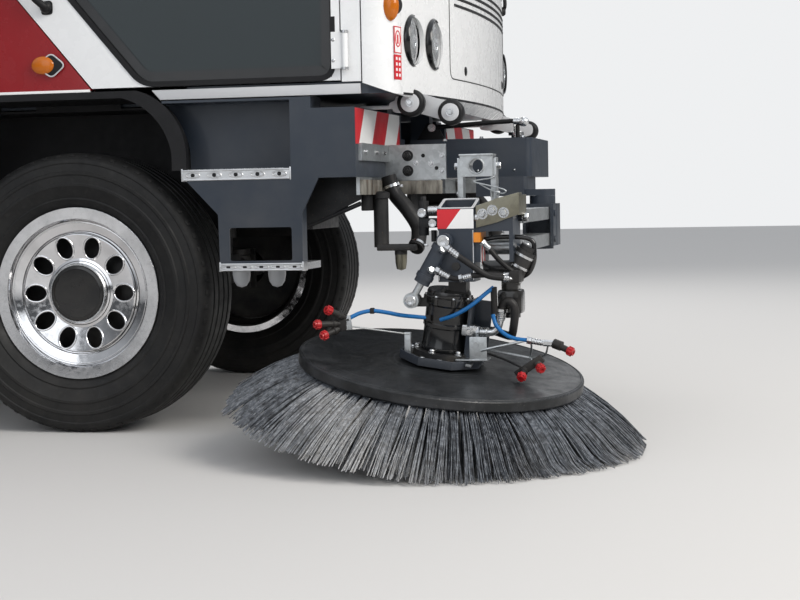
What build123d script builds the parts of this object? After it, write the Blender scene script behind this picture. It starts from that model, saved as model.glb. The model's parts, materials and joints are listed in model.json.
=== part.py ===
"""Street sweeper truck with a kerb broom, a centre roller and a tipping hopper.

Lengths are millimetres. +X is forward, +Y is the truck's left and +Z is up.
Places along the truck are written from the vehicle datum, which is on the ground
under the middle of the front axle. The part's own origin is at the bottom centre of
the whole truck's box, so the helper planes below carry the datum to its place.
"""

import os
from math import asin, atan2, cos, degrees, radians, sin, sqrt, tan

from build123d import *

os.makedirs("parts", exist_ok=True)

# Overall truck
wheelbase = 2850
half_width = 1150
rear_end = -4150
side_names = {-1: "right", 1: "left"}
fit_gap = 0.3
panel_gap = 5

# Wheels
tyre_radius = 490
tyre_width = 312
tread_width = 270
shoulder_radius = 478
sidewall_radius = 400
half_track = 960
flange_radius = 300
barrel_radius = 262
rim_half_width = 125
rim_wall = 9
hub_bore_radius = 70
hand_hole_count = 10
hand_hole_circle = 165
hand_hole_width = 60
hand_hole_height = 78
kingpin_y = 740
kingpin_radius = 23
boss_radius = 58
boss_height = 120

# Ladder frame
rail_y = 400
rail_width = 70
rail_bottom = 840
rail_top = 1020
frame_front = 1030
frame_rear = -4000
member_length = 80

# Cab
floor_bottom = 1150
cab_bottom = 1190
belt_z = 1620
cab_top = 2450
roof_top = 2690
cab_rear = -420
cab_side_front = 1055
cab_corner = 1172
cab_front = 1300
corner_depth = 100
top_setback = 100
top_lean = 30
cab_wall = 40
glass_depth = 14
glass_thickness = 6

# Doors, as side outlines from the datum
door_foot_rear = 108
door_front = 985
door_knee_rear = -300
door_knee_z = 1680
door_top = 2400
door_bottom = 1195
door_band = 140
door_frame = 28
hinge_x = 1006
hinge_y = half_width + 18

# Front mudguard, step panel and side box
arch_front = 388
arch_rear = -610
arch_crown = 1160
arch_rear_foot = 780
lip_width = 52
lip_rise = 24
lip_depth = 30
liner_wall = 8
liner_inner = half_width - 360
toe_y = half_width - 120
skirt_plate = 8
box_rear = 807
box_front = 1031
box_bottom = 875
box_top = 1107
box_inner = rail_y + rail_width / 2
step_one = (424, 805)
step_one_z = (874, 909)
arch_foot = step_one_z[1]
step_two = (551, 842)
step_two_z = (567, 591)
step_two_inner = half_width - 230
step_side = -1
skirt_top = 1145
toe_rear = 414
panel_front = 880

# Front end
nose_half = 265
nose_front = 1495
nose_z = (873, 1020)
nose_corner = 25
beam_z = (865, 990)
beam_depth = 54
plate_y = half_width - 460
plate_front = 1250
strip_z = (930, 988)
low_strip_z = 815
tow_pin_radius = 20
tow_pin_x = 1400

# Kerb broom
broom_x = 1358
broom_y = -1400
broom_z = 285
broom_out_tilt = 6.2
broom_front_tilt = 8.5
disc_radius = 450
disc_thickness = 36
bristle_root = 428
bristle_tip = 660
bristle_drop = 160
turret_x = 1540
turret_y = -300
turret_half = 60
turret_z = (615, 799.7)
turret_pin = 25
arm_pins_z = (640, 735)
arm_inner_y = -410
arm_outer_y = -1318
arm_half_width = 42
arm_half_height = 22
arm_pin = 13
column_x = 1420
column_half = 58
column_wall = 8
top_slope = 30
column_z = (540, 796)
tilt_pin_z = 588
tilt_pin = 13
motor_radius = 66
motor_height = 208
base_plate_radius = 136
base_plate = 16
ram_top = (1392, 668)
ram_foot = (1286, 486)
ram_y = -1497
ram_barrel_radius = 25
ram_rod_radius = 11
ram_eye_radius = 24
ram_pin = 11

# Centre roller
roller_x = -1450
roller_z = 372
roller_radius = 350
roller_core = 120
roller_half = 640
roller_pivot = (-760, 700)
roller_shaft = 30
hood_x = (-1960, -800)
hood_half = roller_half + 105
hood_z = (230, 840)
hood_wall = 8

# Body behind the cab
housing_x = (-1385, -430)
housing_half = half_width - 30
housing_z = (1195, 2520)
housing_wall = 30
engine_x = (-1250, -620)
engine_half = 300
engine_z = (1020, 1650)
hopper_x = (-4050, -1410)
hopper_half = half_width - 25
hopper_z = (1195, 2720)
hopper_wall = 25
hopper_corner = 190
tip_hinge = (-3950, 1120)
tip_pin = 25
tailgate_gap = 6
tailgate_wall = 60
tailgate_hinge = (-4092, 2640)
header_z = 2606
lift_ram_y = 550
lift_ram_foot = (-3450, 600)
lift_ram_head = (-3350, 1140)
lift_barrel_radius = 45
lift_rod_radius = 25
lift_pin = 16
lift_eye_play = 13

# Broom tilt, as the direction of its spin axis
broom_axis = Vector(tan(radians(broom_front_tilt)), -tan(radians(broom_out_tilt)), 1).normalized()
tip_centre = Vector(broom_x, broom_y, broom_z) - broom_axis * bristle_drop
broom_front_reach = tip_centre.X + bristle_tip * sqrt(1 - broom_axis.X ** 2)
broom_side_reach = tip_centre.Y - bristle_tip * sqrt(1 - broom_axis.Y ** 2)
mirror_reach = half_width + 185

# The datum from the part's origin at the bottom centre of the box
datum_x = -(broom_front_reach + rear_end) / 2
datum_y = -(broom_side_reach + mirror_reach) / 2


def facing_side(y):
    """Plane of constant Y: its x is along the truck and its y is up; it faces right."""
    return Plane(origin=(datum_x, datum_y + y, 0), x_dir=(1, 0, 0), z_dir=(0, -1, 0))


def facing_front(x):
    """Plane of constant X: its x is the truck's Y and its y is up; it faces forward."""
    return Plane(origin=(datum_x + x, datum_y, 0), x_dir=(0, 1, 0), z_dir=(1, 0, 0))


def level(z):
    """Plane of constant height: its x and y are the truck's."""
    return Plane(origin=(datum_x, datum_y, z))


def at(x, y, z):
    """A place measured from the vehicle datum."""
    return Location((datum_x + x, datum_y + y, z))


def block(x, y, z, mode=Mode.ADD):
    """A box between pairs of limits along X, Y and Z."""
    middle = at((x[0] + x[1]) / 2, (y[0] + y[1]) / 2, (z[0] + z[1]) / 2)
    with Locations(middle):
        Box(abs(x[1] - x[0]), abs(y[1] - y[0]), abs(z[1] - z[0]), mode=mode)


def cross_pin(x, z, y, radius, mode=Mode.ADD):
    """A round bar or bore along Y, between two Y limits."""
    with Locations(at(x, (y[0] + y[1]) / 2, z)):
        Cylinder(radius, abs(y[1] - y[0]), rotation=(90, 0, 0), mode=mode)


def long_pin(y, z, x, radius, mode=Mode.ADD):
    """A round bar or bore along X, between two X limits."""
    with Locations(at((x[0] + x[1]) / 2, y, z)):
        Cylinder(radius, abs(x[1] - x[0]), rotation=(0, 90, 0), mode=mode)


def upright(x, y, z, radius, mode=Mode.ADD):
    """A round bar or bore along Z, between two heights."""
    with Locations(at(x, y, (z[0] + z[1]) / 2)):
        Cylinder(radius, abs(z[1] - z[0]), mode=mode)


def side_span(side, inner, outer):
    """The Y limits of a piece on one side, from its distances to the centreline."""
    return (side * inner, side * outer)


def keep(name, label):
    name.part.label = label
    export_step(name.part, f"parts/{label}.step")


# Frame

with BuildPart() as chassis_frame:
    for side in side_names:
        rail = side_span(side, rail_y - rail_width / 2, rail_y + rail_width / 2)
        block((frame_rear, frame_front), rail, (rail_bottom, rail_top))
    for member_front in (frame_front, 380, -560, -2050, -2700, frame_rear + member_length):
        member = (member_front - member_length, member_front)
        block(member, (-rail_y, rail_y), (rail_bottom + 20, rail_top - 20))
    for side in side_names:
        foot_x, foot_z = lift_ram_foot
        bracket = side_span(side, box_inner, lift_ram_y - 50)
        block((foot_x - 55, foot_x + 55), bracket, (foot_z - 40, rail_bottom + 60))
        cross_pin(foot_x, foot_z, side_span(side, lift_ram_y - 51, lift_ram_y + 30), lift_pin)
        # Hanger of the roller's lifting shaft
        pivot_x, pivot_z = roller_pivot
        rail = side_span(side, rail_y - rail_width / 2, rail_y + rail_width / 2)
        block((pivot_x - 36, pivot_x + 36), rail, (pivot_z - 50, rail_bottom))
        shaft_bore = side_span(side, rail_y - 40, rail_y + 40)
        cross_pin(pivot_x, pivot_z, shaft_bore, roller_shaft + fit_gap, Mode.SUBTRACT)
keep(chassis_frame, "chassis_frame")

# Axles

with BuildPart() as front_axle:
    block((-55, 55), (-kingpin_y, kingpin_y), (tyre_radius - 55, tyre_radius + 50))
    chamfer(front_axle.edges().filter_by(Axis.Y), 14)
    for side in side_names:
        boss = (tyre_radius - boss_height / 2, tyre_radius + boss_height / 2)
        upright(0, side * kingpin_y, boss, boss_radius)
        upright(0, side * kingpin_y, boss, kingpin_radius + fit_gap, mode=Mode.SUBTRACT)
        pad = side_span(side, rail_y - 95, rail_y + 95)
        block((-95, 95), pad, (tyre_radius + 50, tyre_radius + 75))
keep(front_axle, "front_axle")

axle_tube_radius = 80
spindle_radius = 45
spindle_end = half_track + 62
with BuildPart() as rear_axle:
    cross_pin(-wheelbase, tyre_radius, (-kingpin_y, kingpin_y), axle_tube_radius)
    with Locations(at(-wheelbase, 0, tyre_radius)):
        Sphere(205)
    cross_pin(-wheelbase, tyre_radius, (-spindle_end, spindle_end), spindle_radius)
    for side in side_names:
        pad = side_span(side, rail_y - 95, rail_y + 95)
        block((-wheelbase - 95, -wheelbase + 95), pad, (tyre_radius + 40, tyre_radius + 95))
keep(rear_axle, "rear_axle")

with BuildPart() as air_springs:
    for axle_x, seat_z in ((0, tyre_radius + 75), (-wheelbase, tyre_radius + 95)):
        for side in side_names:
            upright(axle_x, side * rail_y, (seat_z, rail_bottom), 88)
            middle = (seat_z + rail_bottom) / 2
            upright(axle_x, side * rail_y, (middle - 62, middle - 8), 104)
            upright(axle_x, side * rail_y, (middle + 8, middle + 62), 104)
keep(air_springs, "air_springs")

# Steering knuckles, one on each kingpin
ear_thickness = 28
for side, name in side_names.items():
    with BuildPart() as knuckle:
        ear_inner = tyre_radius + boss_height / 2 + 1
        web = side_span(side, kingpin_y + boss_radius + 8, kingpin_y + boss_radius + 38)
        for low, high in (
            (ear_inner, ear_inner + ear_thickness),
            (2 * tyre_radius - ear_inner - ear_thickness, 2 * tyre_radius - ear_inner),
        ):
            block((-42, 42), (side * kingpin_y, web[1]), (low, high))
            upright(0, side * kingpin_y, (low, high), 42)
        ear_low = 2 * tyre_radius - ear_inner - ear_thickness
        block((-60, 60), web, (ear_low, ear_inner + ear_thickness))
        upright(0, side * kingpin_y, (ear_low, ear_inner + ear_thickness), kingpin_radius)
        cross_pin(0, tyre_radius, side_span(side, abs(web[1]) - 1, spindle_end), spindle_radius)
        arm = side_span(side, kingpin_y - 30, kingpin_y + 20)
        block((-190, -30), arm, (ear_low, ear_low + ear_thickness))
    keep(knuckle, f"knuckle_{name}")

# Wheels: a plain tyre and a dished rim with hand holes, for each corner


def wheel_places():
    for axle, axle_x in (("front", 0), ("rear", -wheelbase)):
        for side, name in side_names.items():
            yield f"{axle}_{name}", axle_x, side


def wheel_plane(axle_x, side):
    """Revolve plane at a wheel: x is outward along the axle and y is up from it."""
    return Plane(
        origin=(datum_x + axle_x, datum_y + side * half_track, tyre_radius),
        x_dir=(0, side, 0),
        z_dir=(side, 0, 0),
    )


def hub_axis(axle_x, side):
    return Axis((datum_x + axle_x, datum_y + side * half_track, tyre_radius), (0, side, 0))


bead_radius = flange_radius - 14
for corner, axle_x, side in wheel_places():
    with BuildPart() as tyre:
        with BuildSketch(wheel_plane(axle_x, side)):
            with BuildLine():
                bead = rim_half_width - 8 - fit_gap
                half = tyre_width / 2
                Polyline(
                    (-bead, bead_radius + fit_gap),
                    (bead, bead_radius + fit_gap),
                    (bead, flange_radius + 4),
                    (bead + 26, flange_radius + 16),
                    (half, sidewall_radius - 20),
                    (half, sidewall_radius + 20),
                    (tread_width / 2 + 8, shoulder_radius - 14),
                    (tread_width / 2 - 18, tyre_radius),
                    (-tread_width / 2 + 18, tyre_radius),
                    (-tread_width / 2 - 8, shoulder_radius - 14),
                    (-half, sidewall_radius + 20),
                    (-half, sidewall_radius - 20),
                    (-bead - 26, flange_radius + 16),
                    (-bead, flange_radius + 4),
                    close=True,
                )
            make_face()
        revolve(axis=hub_axis(axle_x, side))
    keep(tyre, f"tyre_{corner}")

    with BuildPart() as rim:
        with BuildSketch(wheel_plane(axle_x, side)):
            with BuildLine():
                # Barrel between the two flanges, then the dish at the outer third
                Polyline(
                    (-rim_half_width, flange_radius),
                    (-rim_half_width + 8, flange_radius),
                    (-rim_half_width + 8, bead_radius),
                    (-55, bead_radius - 4),
                    (-35, barrel_radius),
                    (35, barrel_radius),
                    (60, bead_radius - 4),
                    (rim_half_width - 8, bead_radius),
                    (rim_half_width - 8, flange_radius),
                    (rim_half_width, flange_radius),
                    (rim_half_width - 2, 262),
                    (rim_half_width - 22, 252),
                    (rim_half_width - 30, 218),
                    (rim_half_width - 22, 205),
                    (rim_half_width - 34, 122),
                    (rim_half_width - 28, 98),
                    (rim_half_width - 28, hub_bore_radius),
                    (rim_half_width - 50, hub_bore_radius),
                    (rim_half_width - 52, 120),
                    (rim_half_width - 40, 205),
                    (rim_half_width - 42, 235),
                    (rim_half_width - 52, 262),
                    (25, barrel_radius - 14),
                    (-40, barrel_radius - 14),
                    (-62, bead_radius - 18),
                    (-rim_half_width, bead_radius - 14),
                    close=True,
                )
            make_face()
        revolve(axis=hub_axis(axle_x, side))
        face = Plane(
            origin=(datum_x + axle_x, datum_y + side * (half_track + rim_half_width), tyre_radius),
            x_dir=(1, 0, 0),
            z_dir=(0, side, 0),
        )
        with BuildSketch(face):
            with PolarLocations(hand_hole_circle, hand_hole_count):
                Ellipse(hand_hole_width / 2, hand_hole_height / 2, rotation=90)
        extrude(amount=-75, mode=Mode.SUBTRACT)
        # Hub drum from the dish back to the spindle
        hub = (half_track - 20, half_track + rim_half_width - 28)
        cross_pin(axle_x, tyre_radius, side_span(side, *hub), hub_bore_radius + 8)
        cap = (half_track + rim_half_width - 30, half_track + rim_half_width - 12)
        cross_pin(axle_x, tyre_radius, side_span(side, *cap), 97)
        bore = (half_track - 30, spindle_end + 2)
        cross_pin(axle_x, tyre_radius, side_span(side, *bore), spindle_radius + fit_gap, Mode.SUBTRACT)
    keep(rim, f"rim_{corner}")

# Cab shell, lofted through three levels and shared by its panels


def cab_form(inset, foot=cab_bottom, head=cab_top, tuck=0):
    """The cab's solid form, drawn in from the outside by an inset, and by a tuck at its foot."""
    # height, setback of the front, lean of the sides
    levels = [(foot, tuck, tuck), (belt_z, 0, 0), (head, top_setback, top_lean)]
    if tuck:
        levels.insert(1, (floor_bottom - 1, 0, 0))
    with BuildPart() as form:
        for z, setback, lean in levels:
            side_y = half_width - lean - inset
            shoulder = cab_side_front - setback
            corner = cab_corner - setback - inset
            front_x = cab_front - setback - inset
            rear_x = cab_rear + inset
            with BuildSketch(level(z)):
                with BuildLine():
                    Line((rear_x, side_y), (rear_x, -side_y))
                    Line((rear_x, -side_y), (shoulder, -side_y))
                    for turn in (-1, 1):
                        middle_x = shoulder + 0.72 * (corner - shoulder)
                        middle_y = side_y - 0.28 * corner_depth
                        ThreePointArc(
                            (shoulder, turn * side_y),
                            (middle_x, turn * middle_y),
                            (corner, turn * (side_y - corner_depth)),
                        )
                    ThreePointArc(
                        (corner, -(side_y - corner_depth)),
                        (front_x, 0),
                        (corner, side_y - corner_depth),
                    )
                    Line((shoulder, side_y), (rear_x, side_y))
                make_face()
        loft(ruled=True)
    return form.part


cab_outer = cab_form(0)
cab_inner = cab_form(cab_wall)


def door_outline(grow):
    """Side outline of a door, grown by a gap all round."""
    slope = atan2(door_knee_z - door_bottom, door_foot_rear - door_knee_rear)
    shift = grow / sin(slope)
    drop = grow / tan(slope)
    Polygon(
        (door_foot_rear - shift + drop, door_bottom - grow),
        (door_front + grow, door_bottom - grow),
        (door_front + grow, door_top + grow),
        (door_knee_rear - grow, door_top + grow),
        (door_knee_rear - grow, door_knee_z + (shift - grow) * tan(slope)),
        align=None,
    )


def window_outline(grow):
    """Side outline of the door's glass: a broad band is left behind it."""
    slope = atan2(door_knee_z - door_bottom, door_foot_rear - door_knee_rear)
    band = door_band / sin(slope) - grow
    foot = door_bottom + 12 - grow
    knee_x = door_knee_rear + door_band - grow
    knee_z = foot + (door_foot_rear + band - knee_x) * tan(slope)
    Polygon(
        (door_foot_rear + band, foot),
        (door_front - door_frame + grow, foot),
        (door_front - door_frame + grow, door_top - 90 + grow),
        (knee_x, door_top - 90 + grow),
        (knee_x, knee_z),
        align=None,
    )


windscreen_half = half_width - 165
windscreen_z = (1665, 2395)
rear_window_half = 620
rear_window_z = (1800, 2350)


def front_opening(half, z, corner_radius):
    """A rounded opening, drawn on the current plane across the truck."""
    with Locations((0, (z[0] + z[1]) / 2)):
        RectangleRounded(2 * half, z[1] - z[0], corner_radius)


far = 3000
quarter_inner = half_width - 60
quarter_front = door_foot_rear + 30
quarter_shoulder = door_knee_z + 40
with BuildPart() as cab_frame:
    add(cab_outer)
    add(cab_inner, mode=Mode.SUBTRACT)
    for side in side_names:
        with BuildSketch(facing_side(side * half_width + far / 10)):
            door_outline(panel_gap)
        extrude(amount=far / 5, mode=Mode.SUBTRACT)
        # Behind the door the side wall is the quarter panel's
        rear_part = side_span(side, quarter_inner, half_width + 10)
        block((cab_rear - 10, door_knee_rear), rear_part, (0, far), Mode.SUBTRACT)
        block((door_knee_rear, quarter_front), rear_part, (0, quarter_shoulder), Mode.SUBTRACT)
    # The lower front is the nose panel's
    nose_cut = (-half_width - 10, half_width + 10)
    block((cab_side_front, far), nose_cut, (cab_bottom - 10, belt_z), Mode.SUBTRACT)
    with BuildSketch(facing_front(500)):
        front_opening(windscreen_half, windscreen_z, 70)
    extrude(amount=far, mode=Mode.SUBTRACT)
    with BuildSketch(facing_front(0)):
        front_opening(rear_window_half, rear_window_z, 50)
    extrude(amount=-far, mode=Mode.SUBTRACT)
keep(cab_frame, "cab_frame")

with BuildPart() as quarter_panels:
    for side in side_names:
        rear_part = side_span(side, quarter_inner + fit_gap, half_width + 10)
        block((cab_rear - 10, door_knee_rear - fit_gap), rear_part, (0, far))
        block((door_knee_rear - 1, quarter_front), rear_part, (0, quarter_shoulder - fit_gap))
    add(cab_outer, mode=Mode.INTERSECT)
    add(cab_inner, mode=Mode.SUBTRACT)
    for side in side_names:
        with BuildSketch(facing_side(side * half_width + far / 10)):
            door_outline(panel_gap)
        extrude(amount=far / 5, mode=Mode.SUBTRACT)
keep(quarter_panels, "quarter_panels")

lamp_radius = 80
lamp_y = half_width - 205
lamp_z = 1333
inner_lamp_y = half_width - 380
nose_wall = 14
nose_foot = 1100
nose_tuck = 50
nose_outer = cab_form(0, foot=nose_foot, tuck=nose_tuck)
cab_lining = cab_form(nose_wall, foot=nose_foot, tuck=nose_tuck)
with BuildPart() as cab_nose:
    nose_side = (-half_width - 10, half_width + 10)
    block((cab_side_front + panel_gap, far / 2), nose_side, (nose_foot, belt_z - panel_gap))
    add(nose_outer, mode=Mode.INTERSECT)
    add(cab_lining, mode=Mode.SUBTRACT)
    # The foot rises from the front edge back to the doors
    with BuildSketch(facing_side(-half_width - 10)):
        Polygon(
            (cab_side_front - 10, cab_bottom),
            (cab_front + 10, nose_foot - 8),
            (cab_front + 10, nose_foot - 50),
            (cab_side_front - 10, nose_foot - 50),
            align=None,
        )
    extrude(amount=-2 * half_width - 20, mode=Mode.SUBTRACT)
    for lamp in (lamp_y, inner_lamp_y):
        for side in side_names:
            bore = (cab_side_front, far / 2)
            long_pin(side * lamp, lamp_z, bore, lamp_radius + fit_gap, Mode.SUBTRACT)
keep(cab_nose, "cab_nose")

with BuildPart() as headlamps:
    for lamp, front_x in ((lamp_y, 1192), (inner_lamp_y, 1232)):
        for side in side_names:
            long_pin(side * lamp, lamp_z, (front_x - 60, front_x), lamp_radius)
    lens_edges = headlamps.edges().filter_by(GeomType.CIRCLE)
    fillet([edge for edge in lens_edges if edge.center().X > datum_x + 1180], 12)
keep(headlamps, "headlamps")

cab_glass_outer = cab_form(glass_depth)
cab_glass_inner = cab_form(glass_depth + glass_thickness)
with BuildPart() as cab_glass:
    with BuildSketch(facing_front(500)):
        front_opening(windscreen_half, windscreen_z, 70)
    extrude(amount=far)
    with BuildSketch(facing_front(0)):
        front_opening(rear_window_half, rear_window_z, 50)
    extrude(amount=-far)
    add(cab_glass_outer, mode=Mode.INTERSECT)
    add(cab_glass_inner, mode=Mode.SUBTRACT)
keep(cab_glass, "cab_glass")

with BuildPart() as cab_floor:
    add(cab_form(nose_wall + fit_gap, foot=floor_bottom, head=cab_top))
    block((-far, far), (-far, far), (cab_bottom, far), Mode.SUBTRACT)
    for side in side_names:
        arch_x = (cab_rear - 10, arch_front + lip_width + panel_gap)
        block(arch_x, side_span(side, liner_inner - 10, far), (0, far), Mode.SUBTRACT)
        for mount_x in (cab_rear + 110, 940):
            mount = side_span(side, rail_y - 35, rail_y + 35)
            block((mount_x - 40, mount_x + 40), mount, (rail_top, floor_bottom))
keep(cab_floor, "cab_floor")

with BuildPart() as cab_roof:
    for inset, low, high in ((0, cab_top, roof_top), (cab_wall, cab_top, roof_top - cab_wall)):
        mode = Mode.ADD if inset == 0 else Mode.SUBTRACT
        for z, draw_in in ((low, 0), (low + 120, 12), (high, 190)):
            side_y = half_width - top_lean - inset - draw_in
            rear_x = cab_rear + inset + draw_in
            front_x = cab_front - top_setback - inset - draw_in
            with BuildSketch(level(z)):
                with Locations(((rear_x + front_x) / 2, 0)):
                    RectangleRounded(front_x - rear_x, 2 * side_y, 180)
        loft(ruled=True, mode=mode)
keep(cab_roof, "cab_roof")

# Doors follow the cab's shell, so their slabs come out of the same form
for side, name in side_names.items():
    with BuildPart() as door:
        with BuildSketch(facing_side(side * half_width + side * 60)):
            door_outline(0)
        extrude(amount=side * 140)
        add(cab_outer, mode=Mode.INTERSECT)
        add(cab_inner, mode=Mode.SUBTRACT)
        with BuildSketch(facing_side(side * half_width + side * 60)):
            window_outline(0)
        extrude(amount=side * 140, mode=Mode.SUBTRACT)
        # Two hinge leaves run out to the barrels on the door post
        for hinge_z in (1292, 2150):
            outer = side_span(side, half_width - 36, hinge_y)
            block((door_front - 24, door_front - 4), outer, (hinge_z - 60, hinge_z + 60))
            leaf = side_span(side, hinge_y - 4, hinge_y + 4)
            block((door_front - 24, hinge_x), leaf, (hinge_z - 60, hinge_z + 60))
            upright(hinge_x, side * hinge_y, (hinge_z - 60, hinge_z + 60), 11)
    keep(door, f"door_{name}")

    with BuildPart() as door_glass:
        with BuildSketch(facing_side(side * half_width + side * 60)):
            window_outline(0)
        extrude(amount=side * 140)
        add(cab_glass_outer, mode=Mode.INTERSECT)
        add(cab_glass_inner, mode=Mode.SUBTRACT)
    keep(door_glass, f"door_glass_{name}")

# Inside the cab
with BuildPart() as seats:
    for side in side_names:
        seat = side_span(side, 260, 760)
        block((-60, 440), seat, (1480, 1600))
        block((-200, -60), seat, (1480, 2150))
        block((0, 380), side_span(side, 340, 680), (cab_bottom, 1480))
keep(seats, "seats")

driver_y = 520
with BuildPart() as dashboard:
    dash_y = half_width - cab_wall - 40
    block((900, 1085), (-dash_y, dash_y), (1420, 1600))
    block((960, 1085), (-dash_y, dash_y), (cab_bottom, 1420))
    column_way = Vector(-0.5, 0, 0.86).normalized()
    column_foot = Vector(datum_x + 960, datum_y + driver_y, 1470)
    with BuildSketch(Plane(origin=column_foot, z_dir=column_way)):
        Circle(32)
    extrude(amount=330)
    ring_plane = Plane(origin=column_foot + column_way * 320, z_dir=column_way)
    with BuildSketch(ring_plane):
        Circle(215)
        Circle(185, mode=Mode.SUBTRACT)
        Rectangle(400, 34)
    extrude(amount=24)
keep(dashboard, "dashboard")

# Front mudguards: a narrow lip in the side plane and a liner running inboard


def arch_line(grow, rise):
    """The wheel arch from its front foot over the crown to its rear foot."""
    front_x = arch_front + grow
    rear_x = arch_rear - grow
    crown = arch_crown + rise
    Line((front_x, arch_foot), (front_x, 965))
    ThreePointArc((front_x, 965), (front_x - 52, crown - 78), (front_x - 175, crown))
    Line((front_x - 175, crown), (rear_x + 240, crown))
    ThreePointArc((rear_x + 240, crown), (rear_x + 66, crown - 62), (rear_x, 960))
    Line((rear_x, 960), (rear_x, arch_rear_foot))


def arch_band(width, rise):
    """The outline of a band along the outside of the arch, thinner over its crown."""
    arch_line(0, 0)
    arch_line(width, rise)
    Line((arch_front, arch_foot), (arch_front + width, arch_foot))
    Line((arch_rear, arch_rear_foot), (arch_rear - width, arch_rear_foot))


rear_guard_radius = 560
splash_y = 520
splash_x = (-560, 370)
splash_z = (640, floor_bottom - panel_gap)
with BuildPart() as mudguards:
    for side in side_names:
        # Splash panel inboard of the front wheel, with a shelf out to the liner
        block(splash_x, side_span(side, splash_y, splash_y + liner_wall), splash_z)
        shelf = side_span(side, splash_y, liner_inner + liner_wall)
        block(splash_x, shelf, (splash_z[1] - liner_wall, splash_z[1]))
        link_x = (splash_x[0] + 300, splash_x[1] - 300)
        link = side_span(side, liner_inner, liner_inner + liner_wall)
        block(link_x, link, (splash_z[1] - liner_wall, arch_crown + liner_wall))
        # width in front, rise over the crown, depth inboard
        for band, rise, depth in (
            (lip_width, lip_rise, lip_depth),
            (liner_wall, liner_wall, half_width - liner_inner),
        ):
            with BuildSketch(facing_side(side * half_width)):
                with BuildLine():
                    arch_band(band, rise)
                make_face()
            extrude(amount=side * depth)
        # Rear guards stand over the rear wheels between the tank and the bumper
        with BuildSketch(facing_side(side * (half_width - 10))):
            with Locations((-wheelbase, tyre_radius)):
                Circle(rear_guard_radius + 14)
                Circle(rear_guard_radius, mode=Mode.SUBTRACT)
                with Locations((0, -rear_guard_radius + 120)):
                    Rectangle(3 * rear_guard_radius, 2 * rear_guard_radius, mode=Mode.SUBTRACT)
        extrude(amount=side * (half_width - 10 - liner_inner))
        guard_top = tyre_radius + rear_guard_radius
        stay_x = (-wheelbase - 30, -wheelbase + 30)
        block(stay_x, side_span(side, box_inner, liner_inner + 8), (rail_top - 40, rail_top))
        block(stay_x, side_span(side, liner_inner, liner_inner + 8), (rail_top - 40, guard_top + 5))
keep(mudguards, "mudguards")

# Step panel and side box on each side
for side, name in side_names.items():
    with BuildPart() as skirt:
        box_y = side_span(side, box_inner, half_width)
        block((box_rear, box_front), box_y, (box_bottom, box_top))
        # The toe plate follows the wheel arch
        with BuildSketch(facing_side(side * (toe_y - skirt_plate))):
            with BuildLine():
                Line((toe_rear, step_one_z[0]), (toe_rear, 965))
                ThreePointArc((toe_rear, 965), (toe_rear - 46, 1085), (toe_rear - 114, skirt_top))
                Line((toe_rear - 114, skirt_top), (box_rear, skirt_top))
                Line((box_rear, skirt_top), (box_rear, step_one_z[0]))
                Line((box_rear, step_one_z[0]), (toe_rear, step_one_z[0]))
            make_face()
        extrude(amount=-side * skirt_plate)
        lid = side_span(side, toe_y, half_width)
        block((arch_front - 30, panel_front), lid, (skirt_top - skirt_plate, skirt_top))
        riser = side_span(side, toe_y - skirt_plate, half_width)
        block((box_rear, panel_front), riser, (box_top, skirt_top))
        outrigger = side_span(side, box_inner, toe_y - skirt_plate)
        block((640, 700), outrigger, (920, 990))
        # The panel that carries the lower step has a toe window and a folded flange
        if side == step_side:
            with BuildSketch(facing_side(side * half_width)):
                Polygon(
                    (441, step_one_z[0]),
                    (441, 870),
                    (548, 757),
                    (step_two[0], step_two_z[1]),
                    (step_two[1], step_two_z[1]),
                    (843, 758),
                    (901, 871),
                    (901, box_bottom),
                    (box_rear, box_bottom),
                    (box_rear, step_one_z[0]),
                    align=None,
                )
                with Locations((696, 656)):
                    RectangleRounded(219, 112, 8, mode=Mode.SUBTRACT)
            extrude(amount=side * skirt_plate)
            flange = side_span(side, half_width - 60, half_width - skirt_plate)
            block((step_two[1] - skirt_plate, step_two[1]), flange, (step_two_z[1], box_bottom))
    keep(skirt, f"skirt_{name}")

with BuildPart() as step_treads:
    for side in side_names:
        tread_one = side_span(side, toe_y, half_width)
        block(step_one, tread_one, step_one_z)
        # Treads are open gratings: rows of slots through each
        treads = [(step_one, step_one_z[1], toe_y + 60, 9)]
        if side == step_side:
            with BuildSketch(level(step_two_z[0])):
                Polygon(
                    (step_two[0], side * half_width),
                    (step_two[1], side * half_width),
                    (step_two[1], side * step_two_inner),
                    (step_two[0] + 75, side * step_two_inner),
                    (step_two[0], side * (step_two_inner + 110)),
                    align=None,
                )
            extrude(amount=step_two_z[1] - step_two_z[0])
            treads.append(((step_two[0] + 60, step_two[1]), step_two_z[1], step_two_inner + 120, 6))
        for tread, height, row_y, slots in treads:
            pitch = (tread[1] - tread[0]) / (slots + 1)
            for index in range(slots):
                slot_x = tread[0] + pitch * (index + 1)
                slot = side_span(side, row_y - 38, row_y + 38)
                block((slot_x - 8, slot_x + 8), slot, (height - 60, height + 5), Mode.SUBTRACT)
keep(step_treads, "step_treads")

# Front end
with BuildPart() as nose_box:
    block((frame_front, nose_front), (-nose_half, nose_half), nose_z)
    upright_edges = nose_box.edges().filter_by(Axis.Z).group_by(Axis.X)[-1]
    fillet(upright_edges, nose_corner)
    upright(tow_pin_x, 0, (nose_z[0] - 5, nose_z[1] + 5), tow_pin_radius, Mode.SUBTRACT)
keep(nose_box, "nose_box")

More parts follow.
